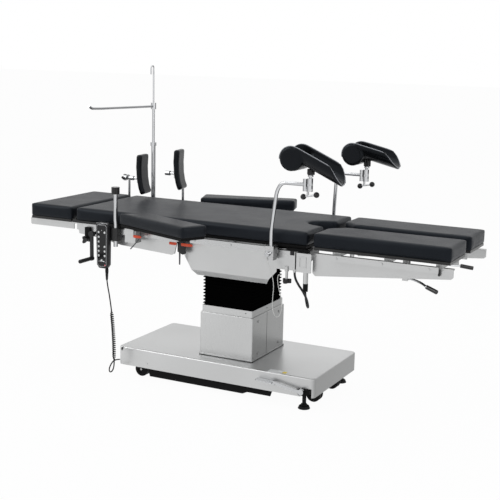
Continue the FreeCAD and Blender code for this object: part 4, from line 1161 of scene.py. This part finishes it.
@dataclass
class Handset:
    """Wired handset on the near rail: case, rims, membrane keys, hook and strain relief."""

    left: float = -575.0
    right: float = -507.0
    face: float = -333.0
    back: float = -303.0
    low: float = 537.0
    high: float = 750.0
    key_radius: float = 5.6
    rows: tuple = (706.0, 684.0, 662.0, 640.0, 618.0, 597.0)

    def build(self) -> None:
        """Make the handset."""
        self._case()
        self._rims()
        self._keys()
        self._hook()
        self._relief()

    def _case(self) -> None:
        """Case with round corners, tapered towards its foot, and a sunken face panel."""
        plan = [(self.left, self.high - 14), (self.left + 10, self.high), (self.right - 10, self.high),
                (self.right, self.high - 14), (self.right - 3, self.low + 16), (self.right - 14, self.low),
                (self.left + 16, self.low), (self.left + 4, self.low + 16)]
        case = Bench.plate("handset_case", plan, "y", self.face, self.back)
        Bench.bevel(case, 4.0, 4, 25.0)
        Bench.smooth(case)
        Bench.finish(case, Finish.BLACK, "back", "black_plastic")
        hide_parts("handset")
        panel = Bench.plate("handset_panel", inset(plan, 8.0), "y", self.face - 0.9, self.face + 1)
        Bench.bevel(panel, 0.7, 2, 25.0)
        Bench.finish(panel, Finish.PANEL, "back", "black_plastic")

    def _loop(self, name: str, plan: list, y: float, radius: float) -> None:
        """Thin bright bead along a closed plan on the face."""
        data = bpy.data.curves.new(name, "CURVE")
        data.dimensions = "3D"
        spline = data.splines.new("POLY")
        spline.points.add(len(plan) - 1)
        for point, (x, z) in zip(spline.points, plan):
            point.co = (x * MM, y * MM, z * MM, 1.0)
        spline.use_cyclic_u = True
        data.bevel_depth = radius * MM
        data.bevel_resolution = 2
        obj = bpy.data.objects.new(name, data)
        bpy.context.collection.objects.link(obj)
        Bench.pick(obj)
        bpy.ops.object.convert(target="MESH")
        Bench.finish(obj, Finish.CHROME, "back", "chrome")

    def _rims(self) -> None:
        """Bright beads round the panel, over the top and across the foot."""
        a, b, c, d = self.left + 7, self.right - 8, self.low + 10, self.high - 9
        plan = [(a, d - 8), (a + 6, d), (b - 6, d), (b, d - 8), (b - 2, c + 10), (b - 12, c), (a + 12, c),
                (a + 3, c + 10)]
        self._loop("handset_rim", plan, self.face - 0.8, 0.9)
        top = [(self.left + 5, self.high - 1.5), (self.right - 5, self.high - 1.5), (self.right - 5, self.high - 3.5),
               (self.left + 5, self.high - 3.5)]
        self._loop("handset_top_rim", top, self.face + 1.5, 1.0)
        foot = [(a + 4, c + 22), (a + 14, c + 25), (b - 14, c + 25), (b - 4, c + 22), (b - 14, c + 23.6),
                (a + 14, c + 23.6)]
        self._loop("handset_foot_rim", foot, self.face - 0.9, 0.8)

    def _keys(self) -> None:
        """White dome keys: six at the left, four at the right, one alone, and one red lamp."""
        spots = [(self.left + 17, z) for z in self.rows]
        spots += [(self.right - 18, self.rows[0])] + [(self.right - 18, z) for z in self.rows[3:]]
        spots.append((self.left + 33, 575.0))
        keys = []
        for x, z in spots:
            key = Bench.rod("handset_key", (x, self.face - 0.5, z), (x, self.face - 2.3, z), self.key_radius, 20,
                            self.key_radius * 0.8)
            keys.append(key)
        joined = Bench.join("handset_keys", keys)
        Bench.bevel(joined, 0.5, 2, 30.0)
        Bench.smooth(joined)
        Bench.finish(joined, Finish.KEY, "back", "grey_plastic")
        x, y = self.right - 17, self.face - 0.5
        lamp = Bench.rod("handset_lamp", (x, y, 553.0), (x, y - 1.1, 553.0), 3.6, 16, 3.0)
        Bench.finish(lamp, Finish.ROSE, "back", "grey_plastic")
        x = self.left + 33
        dot = Bench.rod("handset_dots", (x, y, 715.0), (x, y - 0.9, 715.0), 1.6, 12)
        Bench.finish(dot, Finish.KEY, "back", "grey_plastic")

    def _hook(self) -> None:
        """Steel hook from the case's back over the rail."""
        parts = [Bench.box("hook", (-542, self.back, 690), (-518, self.back + 14.7, 726)),
                 Bench.box("hook", (-542, self.back + 14, 720.3), (-518, self.back + 37, 726)),
                 Bench.box("hook", (-542, self.back + 32.5, 708), (-518, self.back + 37, 721))]
        hook = Bench.join("handset_hook", parts)
        Bench.bevel(hook, 1.0)
        Bench.finish(hook, Finish.BLACK, "back", "black_plastic")

    def _relief(self) -> None:
        """Ribbed tapered sleeve where the cord leaves the case."""
        ribs = [Bench.rod("relief", (-524, -318, 538), (-524, -318, 482), 7.5, 24, 4.6)]
        for i in range(7):
            z = 530.0 - 6.5 * i
            r = 8.8 - 0.5 * i
            ribs.append(Bench.rod("rib", (-524, -318, z), (-524, -318, z - 3.4), r, 24, r - 0.4))
        relief = Bench.join("strain_relief", ribs)
        Bench.smooth(relief)
        Bench.finish(relief, Finish.CORD, "back", "cord_black")


def lobed_knob(name: str, place: Point, way: Point, radius: float, depth: float, body: str) -> bpy.types.Object:
    """Three-lobed moulded knob with a waisted neck.

    Args:
        name: the piece's name.
        place: middle of its foot, where it meets the screw, in millimetres.
        way: direction from the foot to the crown.
        radius: reach of a lobe.
        depth: height of the lobes.
        body: the body it rides on.

    Returns:
        The knob.
    """
    plan = []
    for i in range(36):
        a = 2 * math.pi * i / 36
        reach = radius * (0.74 + 0.26 * math.cos(3 * a))
        plan.append((reach * math.cos(a), reach * math.sin(a)))
    head = Bench.plate(name, plan, "z", depth * 0.35, depth)
    Bench.bevel(head, min(2.5, depth * 0.22), 3, 30.0)
    neck = Bench.rod("neck", (0, 0, 0), (0, 0, depth * 0.5), radius * 0.34, 20, radius * 0.5)
    knob = Bench.join(name, [head, neck])
    turn = Vector(way).to_track_quat("Z", "Y").to_matrix().to_4x4()
    knob.data.transform(Matrix.Translation(Vector(place) * MM) @ turn)
    Bench.smooth(knob, 35.0)
    return Bench.finish(knob, Finish.BLACK, body, "black_plastic")


def screw_heads(name: str, spots: list, way: Point, radius: float, body: str, finish: Finish) -> bpy.types.Object:
    """Domed screw heads with a hexagon socket.

    Args:
        name: the piece's name.
        spots: where each head sits, in millimetres.
        way: direction in which the heads stand proud.
        radius: radius of a head.
        body: the body they ride on.
        finish: their finish.

    Returns:
        All heads as one piece.
    """
    out = Vector(way)
    heads = []
    for spot in spots:
        foot = Vector(spot) - out * 0.4
        crown = Vector(spot) + out * radius * 0.42
        head = Bench.rod(name, tuple(foot), tuple(crown), radius, 20, radius * 0.62)
        Bench.pick(head)
        bpy.ops.object.mode_set(mode="EDIT")
        bpy.ops.mesh.select_mode(type="FACE")
        bpy.ops.mesh.select_all(action="DESELECT")
        bpy.ops.object.mode_set(mode="OBJECT")
        for face in head.data.polygons:
            face.select = len(face.vertices) > 4 and face.normal.dot(out) > 0.9
        bpy.ops.object.mode_set(mode="EDIT")
        bpy.ops.mesh.inset(thickness=radius * 0.28 * MM)
        bpy.ops.mesh.extrude_region_move(TRANSFORM_OT_translate={"value": tuple(-out * radius * 0.3 * MM)})
        bpy.ops.object.mode_set(mode="OBJECT")
        heads.append(head)
    return Bench.finish(Bench.join(name, heads), finish, body, "steel")


def blocky(obj: bpy.types.Object, tool: bpy.types.Object, operation: str) -> None:
    """Combine an object with a tool, which is then removed."""
    Bench.modify(obj, "BOOLEAN", object=tool, operation=operation, solver="EXACT")
    bpy.data.objects.remove(tool, do_unlink=True)


def soften(obj: bpy.types.Object, voxel: float, rounds: int) -> None:
    """Turn a hard block into a moulded form with round rims. voxel is in millimetres."""
    Bench.modify(obj, "REMESH", mode="VOXEL", voxel_size=voxel * MM, adaptivity=0.0, use_smooth_shade=True)
    Bench.modify(obj, "SMOOTH", factor=0.5, iterations=rounds)


def tube(name: str, spots: list, radius: float, closed: bool = False) -> bpy.types.Object:
    """Round bead or wire through points, as a mesh.

    Args:
        name: the piece's name.
        spots: points in millimetres.
        radius: half of its thickness.
        closed: whether the ends meet.

    Returns:
        The mesh object.
    """
    data = bpy.data.curves.new(name, "CURVE")
    data.dimensions = "3D"
    spline = data.splines.new("NURBS")
    spline.points.add(len(spots) - 1)
    for point, spot in zip(spline.points, spots):
        point.co = (*[v * MM for v in spot], 1.0)
    spline.order_u = 3
    spline.use_endpoint_u = not closed
    spline.use_cyclic_u = closed
    spline.resolution_u = 5
    data.bevel_depth = radius * MM
    data.bevel_resolution = 3
    data.use_fill_caps = True
    obj = bpy.data.objects.new(name, data)
    bpy.context.collection.objects.link(obj)
    Bench.pick(obj)
    bpy.ops.object.convert(target="MESH")
    return obj


@dataclass
class LegShell:
    """Moulded trough for the lower leg with its welt, stem and clamping knob."""

    side: Side
    post_x: float
    post_z: float
    offset: tuple
    tilt: float
    length: float
    top: float
    radius: float = 64.0
    wall: float = 13.0
    curl: float = 53.0
    across: float = 296.0

    def build(self) -> None:
        """Make the shell, its welt and its fittings."""
        body = f"shell_{self.side.tag}"
        shell = self._form()
        self._place(shell)
        Bench.finish(shell, Finish.SHELL, body, "black_plastic")
        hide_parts(f"crutch_shell_{self.side.tag}")
        welt = tube(f"leg_welt_{self.side.tag}", self._rim(), 2.1, closed=True)
        self._place(welt)
        Bench.smooth(welt)
        Bench.finish(welt, Finish.WELT, body, "grey_plastic")
        self._fittings(body)

    def _place(self, obj: bpy.types.Object) -> None:
        """Tilt a piece about its curl and move it over its post."""
        dx, dz = self.offset
        spot = Vector((self.post_x + dx, self.side.value * self.across, self.post_z + dz)) * MM
        obj.data.transform(Matrix.Translation(spot) @ Matrix.Rotation(math.radians(self.tilt), 4, "Y"))

    def _form(self) -> bpy.types.Object:
        """Trough, curl, knee hollow and scooped end, cut from blocks and then moulded soft."""
        r, end, rim = self.radius, self.length, self.curl
        inner = r - self.wall
        shell = Bench.rod(f"leg_shell_{self.side.tag}", (0, 0, rim), (end, 0, rim), r, 72)
        blocky(shell, Bench.box("cut", (-1, -r - 1, rim), (end + 1, r + 1, rim + r + 1)), "DIFFERENCE")
        curl = Bench.rod("curl", (0, -r, 0), (0, r, 0), rim, 72)
        Bench.bevel(curl, 14.0, 4, 60.0)
        blocky(shell, curl, "UNION")
        blocky(shell, Bench.rod("hollow", (-60, 0, rim + 0.3), (end + 2, 0, rim + 0.3), inner, 72), "DIFFERENCE")
        knee = Bench.rod("knee", (0, -inner, 0), (0, inner, 0), rim + 1, 72)
        blocky(knee, Bench.rod("core", (46, -inner - 1, -9), (46, inner + 1, -9), rim * 0.64, 48), "DIFFERENCE")
        blocky(shell, knee, "DIFFERENCE")
        plan = [(end - 71, rim + 2), (end - 46, rim - 14), (end - 24, rim - 34), (end - 5, rim - 52),
                (end, rim - r - 1), (end + 9, rim - r - 1), (end + 9, rim + 2)]
        blocky(shell, Bench.plate("scoop", plan, "y", -r - 1, r + 1), "DIFFERENCE")
        soften(shell, 3.2, 5)
        return shell

    def _rim(self) -> list:
        """Points of the welt: up one side, round the scoop, back along the other side and round the curl."""
        mid = self.radius - self.wall / 2
        rim, end = self.curl, self.length
        side = [(-rim * math.sin(a), mid, -rim * math.cos(a)) for a in (1.0, 1.35, 1.75, 2.15, 2.6, 3.0)]
        side += [(x, mid, rim + 0.5) for x in (20.0, 70.0, 120.0, end - 90)]
        side += [(end - 71, mid - 1, rim - 1), (end - 46, mid * 0.96, rim - 15), (end - 24, mid * 0.81, rim - 34),
                 (end - 7, mid * 0.43, rim - 52)]
        return side + [(end - 1, 0.0, rim - mid - 3)] + [(x, -y, z) for x, y, z in reversed(side)]

    def _fittings(self, body: str) -> None:
        """Chromed stem and eye, and the fluted black grip round the stem."""
        x, y, z = self.post_x + 14, self.side.value * self.across, self.post_z
        stem = Bench.join(f"shell_stem_{self.side.tag}", [
            Bench.rod("neck", (x, y, z + 8), (x + 4, y, z + self.top), 7.0),
            Bench.rod("eye", (x, y - 7.6, z), (x, y + 7.6, z), 11.0, 32),
            Bench.rod("ring", (x + 2, y, z + 34), (x + 2.4, y, z + 41), 12.0, 32),
        ])
        Bench.bevel(stem, 0.8)
        Bench.smooth(stem)
        Bench.finish(stem, Finish.CHROME, body, "chrome")
        plan = [((15.2 + 1.9 * math.cos(6 * a)) * math.cos(a), (15.2 + 1.9 * math.cos(6 * a)) * math.sin(a))
                for a in (2 * math.pi * i / 48 for i in range(48))]
        grip = Bench.plate(f"shell_grip_{self.side.tag}", plan, "z", z + 42, z + self.top - 4)
        Bench.bevel(grip, 3.0, 3, 60.0)
        grip.data.transform(Matrix.Translation(Vector((x + 3, y, 0)) * MM))
        Bench.smooth(grip)
        Bench.finish(grip, Finish.BLACK, body, "black_plastic")


@dataclass
class LegSupports:
    """Both leg shells and the black balls of their tee handles."""

    def build(self) -> None:
        """Make both sides."""
        LegShell(Side.FRONT, 463.0, 1003.0, (-51.0, 109.0), 24.0, 236.0, 70.0).build()
        LegShell(Side.REAR, 487.0, 985.0, (-37.0, 98.0), 13.0, 216.0, 80.0).build()
        for side, x, z in ((Side.FRONT, 463.0, 1003.0), (Side.REAR, 487.0, 985.0)):
            y = side.value * 296.0
            for number, (dx, dz) in enumerate(((-14, -52), (45, -40))):
                Bench.clear()
                bpy.ops.mesh.primitive_uv_sphere_add(segments=32, ring_count=20, radius=12.4 * MM,
                                                     location=((x + dx) * MM, y * MM, (z + dz) * MM))
                ball = Bench.named(f"handle_ball_{side.tag}_{number}")
                Bench.smooth(ball, 180.0)
                Bench.finish(ball, Finish.BLACK, f"crutch_{side.tag}", "black_plastic")


@dataclass
class ShoulderSupports:
    """Moulded shoulder pads with hollow faces, and the knobs on their bars."""

    form: tuple = ((-14, 203), (-17, 140), (-13, 80), (-4, 35), (8, 0), (34, 12), (21, 45), (14, 88), (12, 140),
                   (16, 203))
    places: tuple = ((-659, 195, 812, 7.4, 890), (-471, 238, 845, 12.0, 925))

    def build(self) -> None:
        """Make both pads and the knobs."""
        for number, (x, y, z, yaw, bar) in enumerate(self.places):
            pad = Bench.plate(f"shoulder_pad_{number}", list(self.form), "y", -48, 48)
            Bench.bevel(pad, 10.0, 4, 50.0)
            soften(pad, 4.0, 6)
            turn = Matrix.Rotation(math.radians(yaw), 4, "Z")
            pad.data.transform(Matrix.Translation(Vector((x, y, z)) * MM) @ turn)
            Bench.finish(pad, Finish.SHELL, "back", "black_plastic")
            if number == 0:
                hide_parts("shoulder_pads")
        lobed_knob("shoulder_knob", (-751, 195, 890), (-1, 0, 0), 18.0, 24.0, "back")


@dataclass
class Trim:
    """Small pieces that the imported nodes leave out: knobs, markers, windows, seams and screws."""

    rail: float = -280.0
    skirt: float = -235.0

    def build(self) -> None:
        """Make every piece."""
        self._rail()
        self._knuckles()
        self._housing()
        self._joints()
        self._column()
        self._base()

    def _piece(self, obj: bpy.types.Object, finish: Finish, body: str, slot: str, width: float = 0.8) -> None:
        """Round a piece's edges and finish it."""
        if width:
            Bench.bevel(obj, width)
        Bench.smooth(obj)
        Bench.finish(obj, finish, body, slot)

    def _rail(self) -> None:
        """Markers, small lever, hanging bracket and lobed knob of the near rail."""
        y = self.rail
        places = ((-372, -330, 705, -326), (-209, -170, 684, -282), (-147, -88, 684, -282))
        for number, (x0, x1, z, y) in enumerate(places):
            body = "back" if x1 < -150 else "seat"
            plan = [(x0, z - 5), (x0 + 3, z - 7), (x1 - 6, z - 7), (x1, z - 3), (x1, z + 3), (x1 - 6, z + 6),
                    (x0, z + 6)]
            marker = Bench.plate(f"rail_marker_{number}", plan, "y", y - 4, y + 0.5)
            self._piece(marker, Finish.RED, body, "grey_plastic", 1.4)
        lever = tube("rail_lever", [(-338, -327, 702), (-342, -330, 692), (-363, -332, 668), (-385, -331, 645)], 2.6)
        Bench.finish(lever, Finish.GREY, "back", "grey_plastic")
        plan = [(-173, 708), (-134, 708), (-134, 640), (-146, 634), (-173, 646)]
        block = Bench.plate("rail_bracket", plan, "y", y + 9, y + 24)
        self._piece(block, Finish.BLACK, "back", "black_plastic", 2.0)
        pin = Bench.rod("bracket_pin", (-164, y + 16, 642), (-164, y + 16, 586), 4.2, 20, 3.2)
        self._piece(pin, Finish.GREY, "back", "grey_plastic")
        lobed_knob("rail_knob_head", (-669, y + 14, 651), (0, -1, 0), 19.0, 24.0, "back")
        stem = Bench.join("rail_knob_stem", [Bench.rod("s", (-669, y + 24, 651), (-669, y + 10, 651), 5.0),
                                             Bench.box("b", (-684, y + 14, 640), (-654, y + 26, 708))])
        self._piece(stem, Finish.DARK, "back", "black_plastic", 2.0)

    def _knuckles(self) -> None:
        """Eye and small lever of each leg support's clamp."""
        for side, x in ((Side.FRONT, 305.0), (Side.REAR, 347.0)):
            s = side.value
            eye = Bench.join(f"clamp_eye_{side.tag}", [
                Bench.rod("e", (x - 6, s * 312, 694), (x - 6, s * 326, 694), 12.0, 32, 10.5),
                Bench.rod("n", (x - 6, s * 326, 694), (x - 6, s * 331, 694), 5.0)])
            self._piece(eye, Finish.CHROME, "seat", "chrome")
            bend = [(x - 6, s * 328, 694), (x + 4, s * 330, 700), (x + 20, s * 331, 704)]
            lever = tube(f"clamp_lever_{side.tag}", bend, 3.0)
            Bench.finish(lever, Finish.CHROME, "seat", "chrome")

    def _housing(self) -> None:
        """Crease line along each side of the seat housing, and a screw on its near side."""
        y = self.skirt
        for side in Side:
            s = side.value
            y0, y1 = sorted((s * 234.6, s * 236.4))
            crease = Bench.box(f"housing_crease_{side.tag}", (-150, y0, 706), (350, y1, 709))
            self._piece(crease, Finish.BAR, "seat", "steel", 0.7)
        screw_heads("housing_screw", [(104.6, y, 695.4)], (0, -1, 0), 5.0, "seat", Finish.ZINC)

    def _joints(self) -> None:
        """Stripe and slot of the joint covers, painted as the shade of a crease and a recess, the frame of each hub's
        window, and a painted shadow line along each leg cover's rail.
        """
        for side in Side:
            s = side.value
            y0, y1 = sorted((s * 263.0, s * 267.0))
            # Painted shade: a black stripe stands for the shade in the cover's vertical crease.
            crease_shade = Bench.box(f"joint_stripe_{side.tag}", (406, y0, 630), (411, y1, 712))
            self._piece(crease_shade, Finish.BOARD, "seat", "black_plastic")
            # Painted shade: a black patch stands for the shade inside the recess at the cover's top right.
            slot = Bench.box(f"joint_slot_{side.tag}", (382, y0, 690), (402, y1, 711))
            self._piece(slot, Finish.BOARD, "seat", "black_plastic", 1.5)
            ring = Bench.join(f"hub_window_{side.tag}", [
                Bench.box("w", (430, min(s * 267.2, s * 268.6), 688), (456, max(s * 267.2, s * 268.6), 694)),
                Bench.box("w", (430, min(s * 267.2, s * 268.6), 650), (437, max(s * 267.2, s * 268.6), 694)),
                Bench.box("w", (430, min(s * 267.2, s * 268.6), 648), (456, max(s * 267.2, s * 268.6), 654))])
            self._piece(ring, Finish.BOARD, f"leg_hub_{side.tag}", "black_plastic", 0.6)
            # Painted shadow: an L-shaped black line along the top and the far end of each leg cover's rail, where the
            # rail's shadow gap falls.
            plan = [(634, 703), (1034, 703), (1042, 700), (1042, 676), (1034, 676), (1034, 695), (634, 700)]
            line = Bench.plate(f"leg_cover_line_{side.tag}", plan, "y", *sorted((s * 262.0, s * 268.0)))
            self._piece(line, Finish.BOARD, f"leg_{side.tag}", "black_plastic", 0.5)

    def _column(self) -> None:
        """Screws of the column cover, and black strips painted as the shadow in the gap round its foot."""
        lips = []
        for s in (-1, 1):
            lips.append(Bench.box("lip", (-111, s * 167.6 - 1.2, 153), (163, s * 167.6 + 1.2, 160)))
            lips.append(Bench.box("lip", (26 + s * 136.6 - 1.2, -168, 153), (26 + s * 136.6 + 1.2, 168, 160)))
        self._piece(Bench.join("column_lip", lips), Finish.BAR, "base", "steel", 0.6)
        # Painted shadow: black strips under the lip stand for the shade in the gap between the column cover and the
        # base.
        gap_shadows = [Bench.box("gap", (-112, s * 166 - 3, 150.1), (164, s * 166 + 3, 152.9)) for s in (-1, 1)]
        gap_shadows += [Bench.box("gap", (26 + s * 135 - 3, -169, 150.1), (26 + s * 135 + 3, 169, 152.9)) for s in (-1, 1)]
        self._piece(Bench.join("column_gap_shadow", gap_shadows), Finish.BOARD, "base", "black_plastic", 0.3)
        screw_heads("collar_screw", [(156, -10, 373)], (1, 0, 0), 4.5, "base", Finish.ZINC)
        seam = Bench.box("column_seam", (161.8, -20, 152), (162.5, -18.4, 355))
        self._piece(seam, Finish.BOARD, "base", "black_plastic", 0.2)
        hole = Bench.rod("column_hole", (123, -161.6, 374), (123, -160.8, 374), 2.6)
        self._piece(hole, Finish.BOARD, "base", "black_plastic", 0.1)

    def _base(self) -> None:
        """White plate with its tab, and the lead's hook."""
        plate = Bench.box("base_plate", (278, -246, 149.6), (345, -207, 151.2))
        self._piece(plate, Finish.PALE, "base", "grey_plastic", 0.6)
        tab = Bench.box("base_tab", (346, -232, 149.6), (362, -212, 151.4))
        self._piece(tab, Finish.YELLOW, "base", "grey_plastic", 0.6)
        hook = tube("base_hook", [(-486, -249, 132), (-486, -254, 138), (-484, -256, 146), (-476, -254, 149)], 2.6)
        Bench.finish(hook, Finish.BLACK, "base", "black_plastic")




def main() -> None:
    """Build every sub-assembly."""
    logging.basicConfig(level=logging.INFO, format="%(message)s")
    bpy.context.scene.view_settings.view_transform = "Standard"
    Studio().build()
    Dressing().build()
    Bellows().build()
    Cords().build()
    TableTop().build()
    ArmBoards().build()
    Handset().build()
    LegSupports().build()
    ShoulderSupports().build()
    Trim().build()
    bpy.context.view_layer.update()
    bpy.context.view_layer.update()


if __name__ == "__main__":
    main()
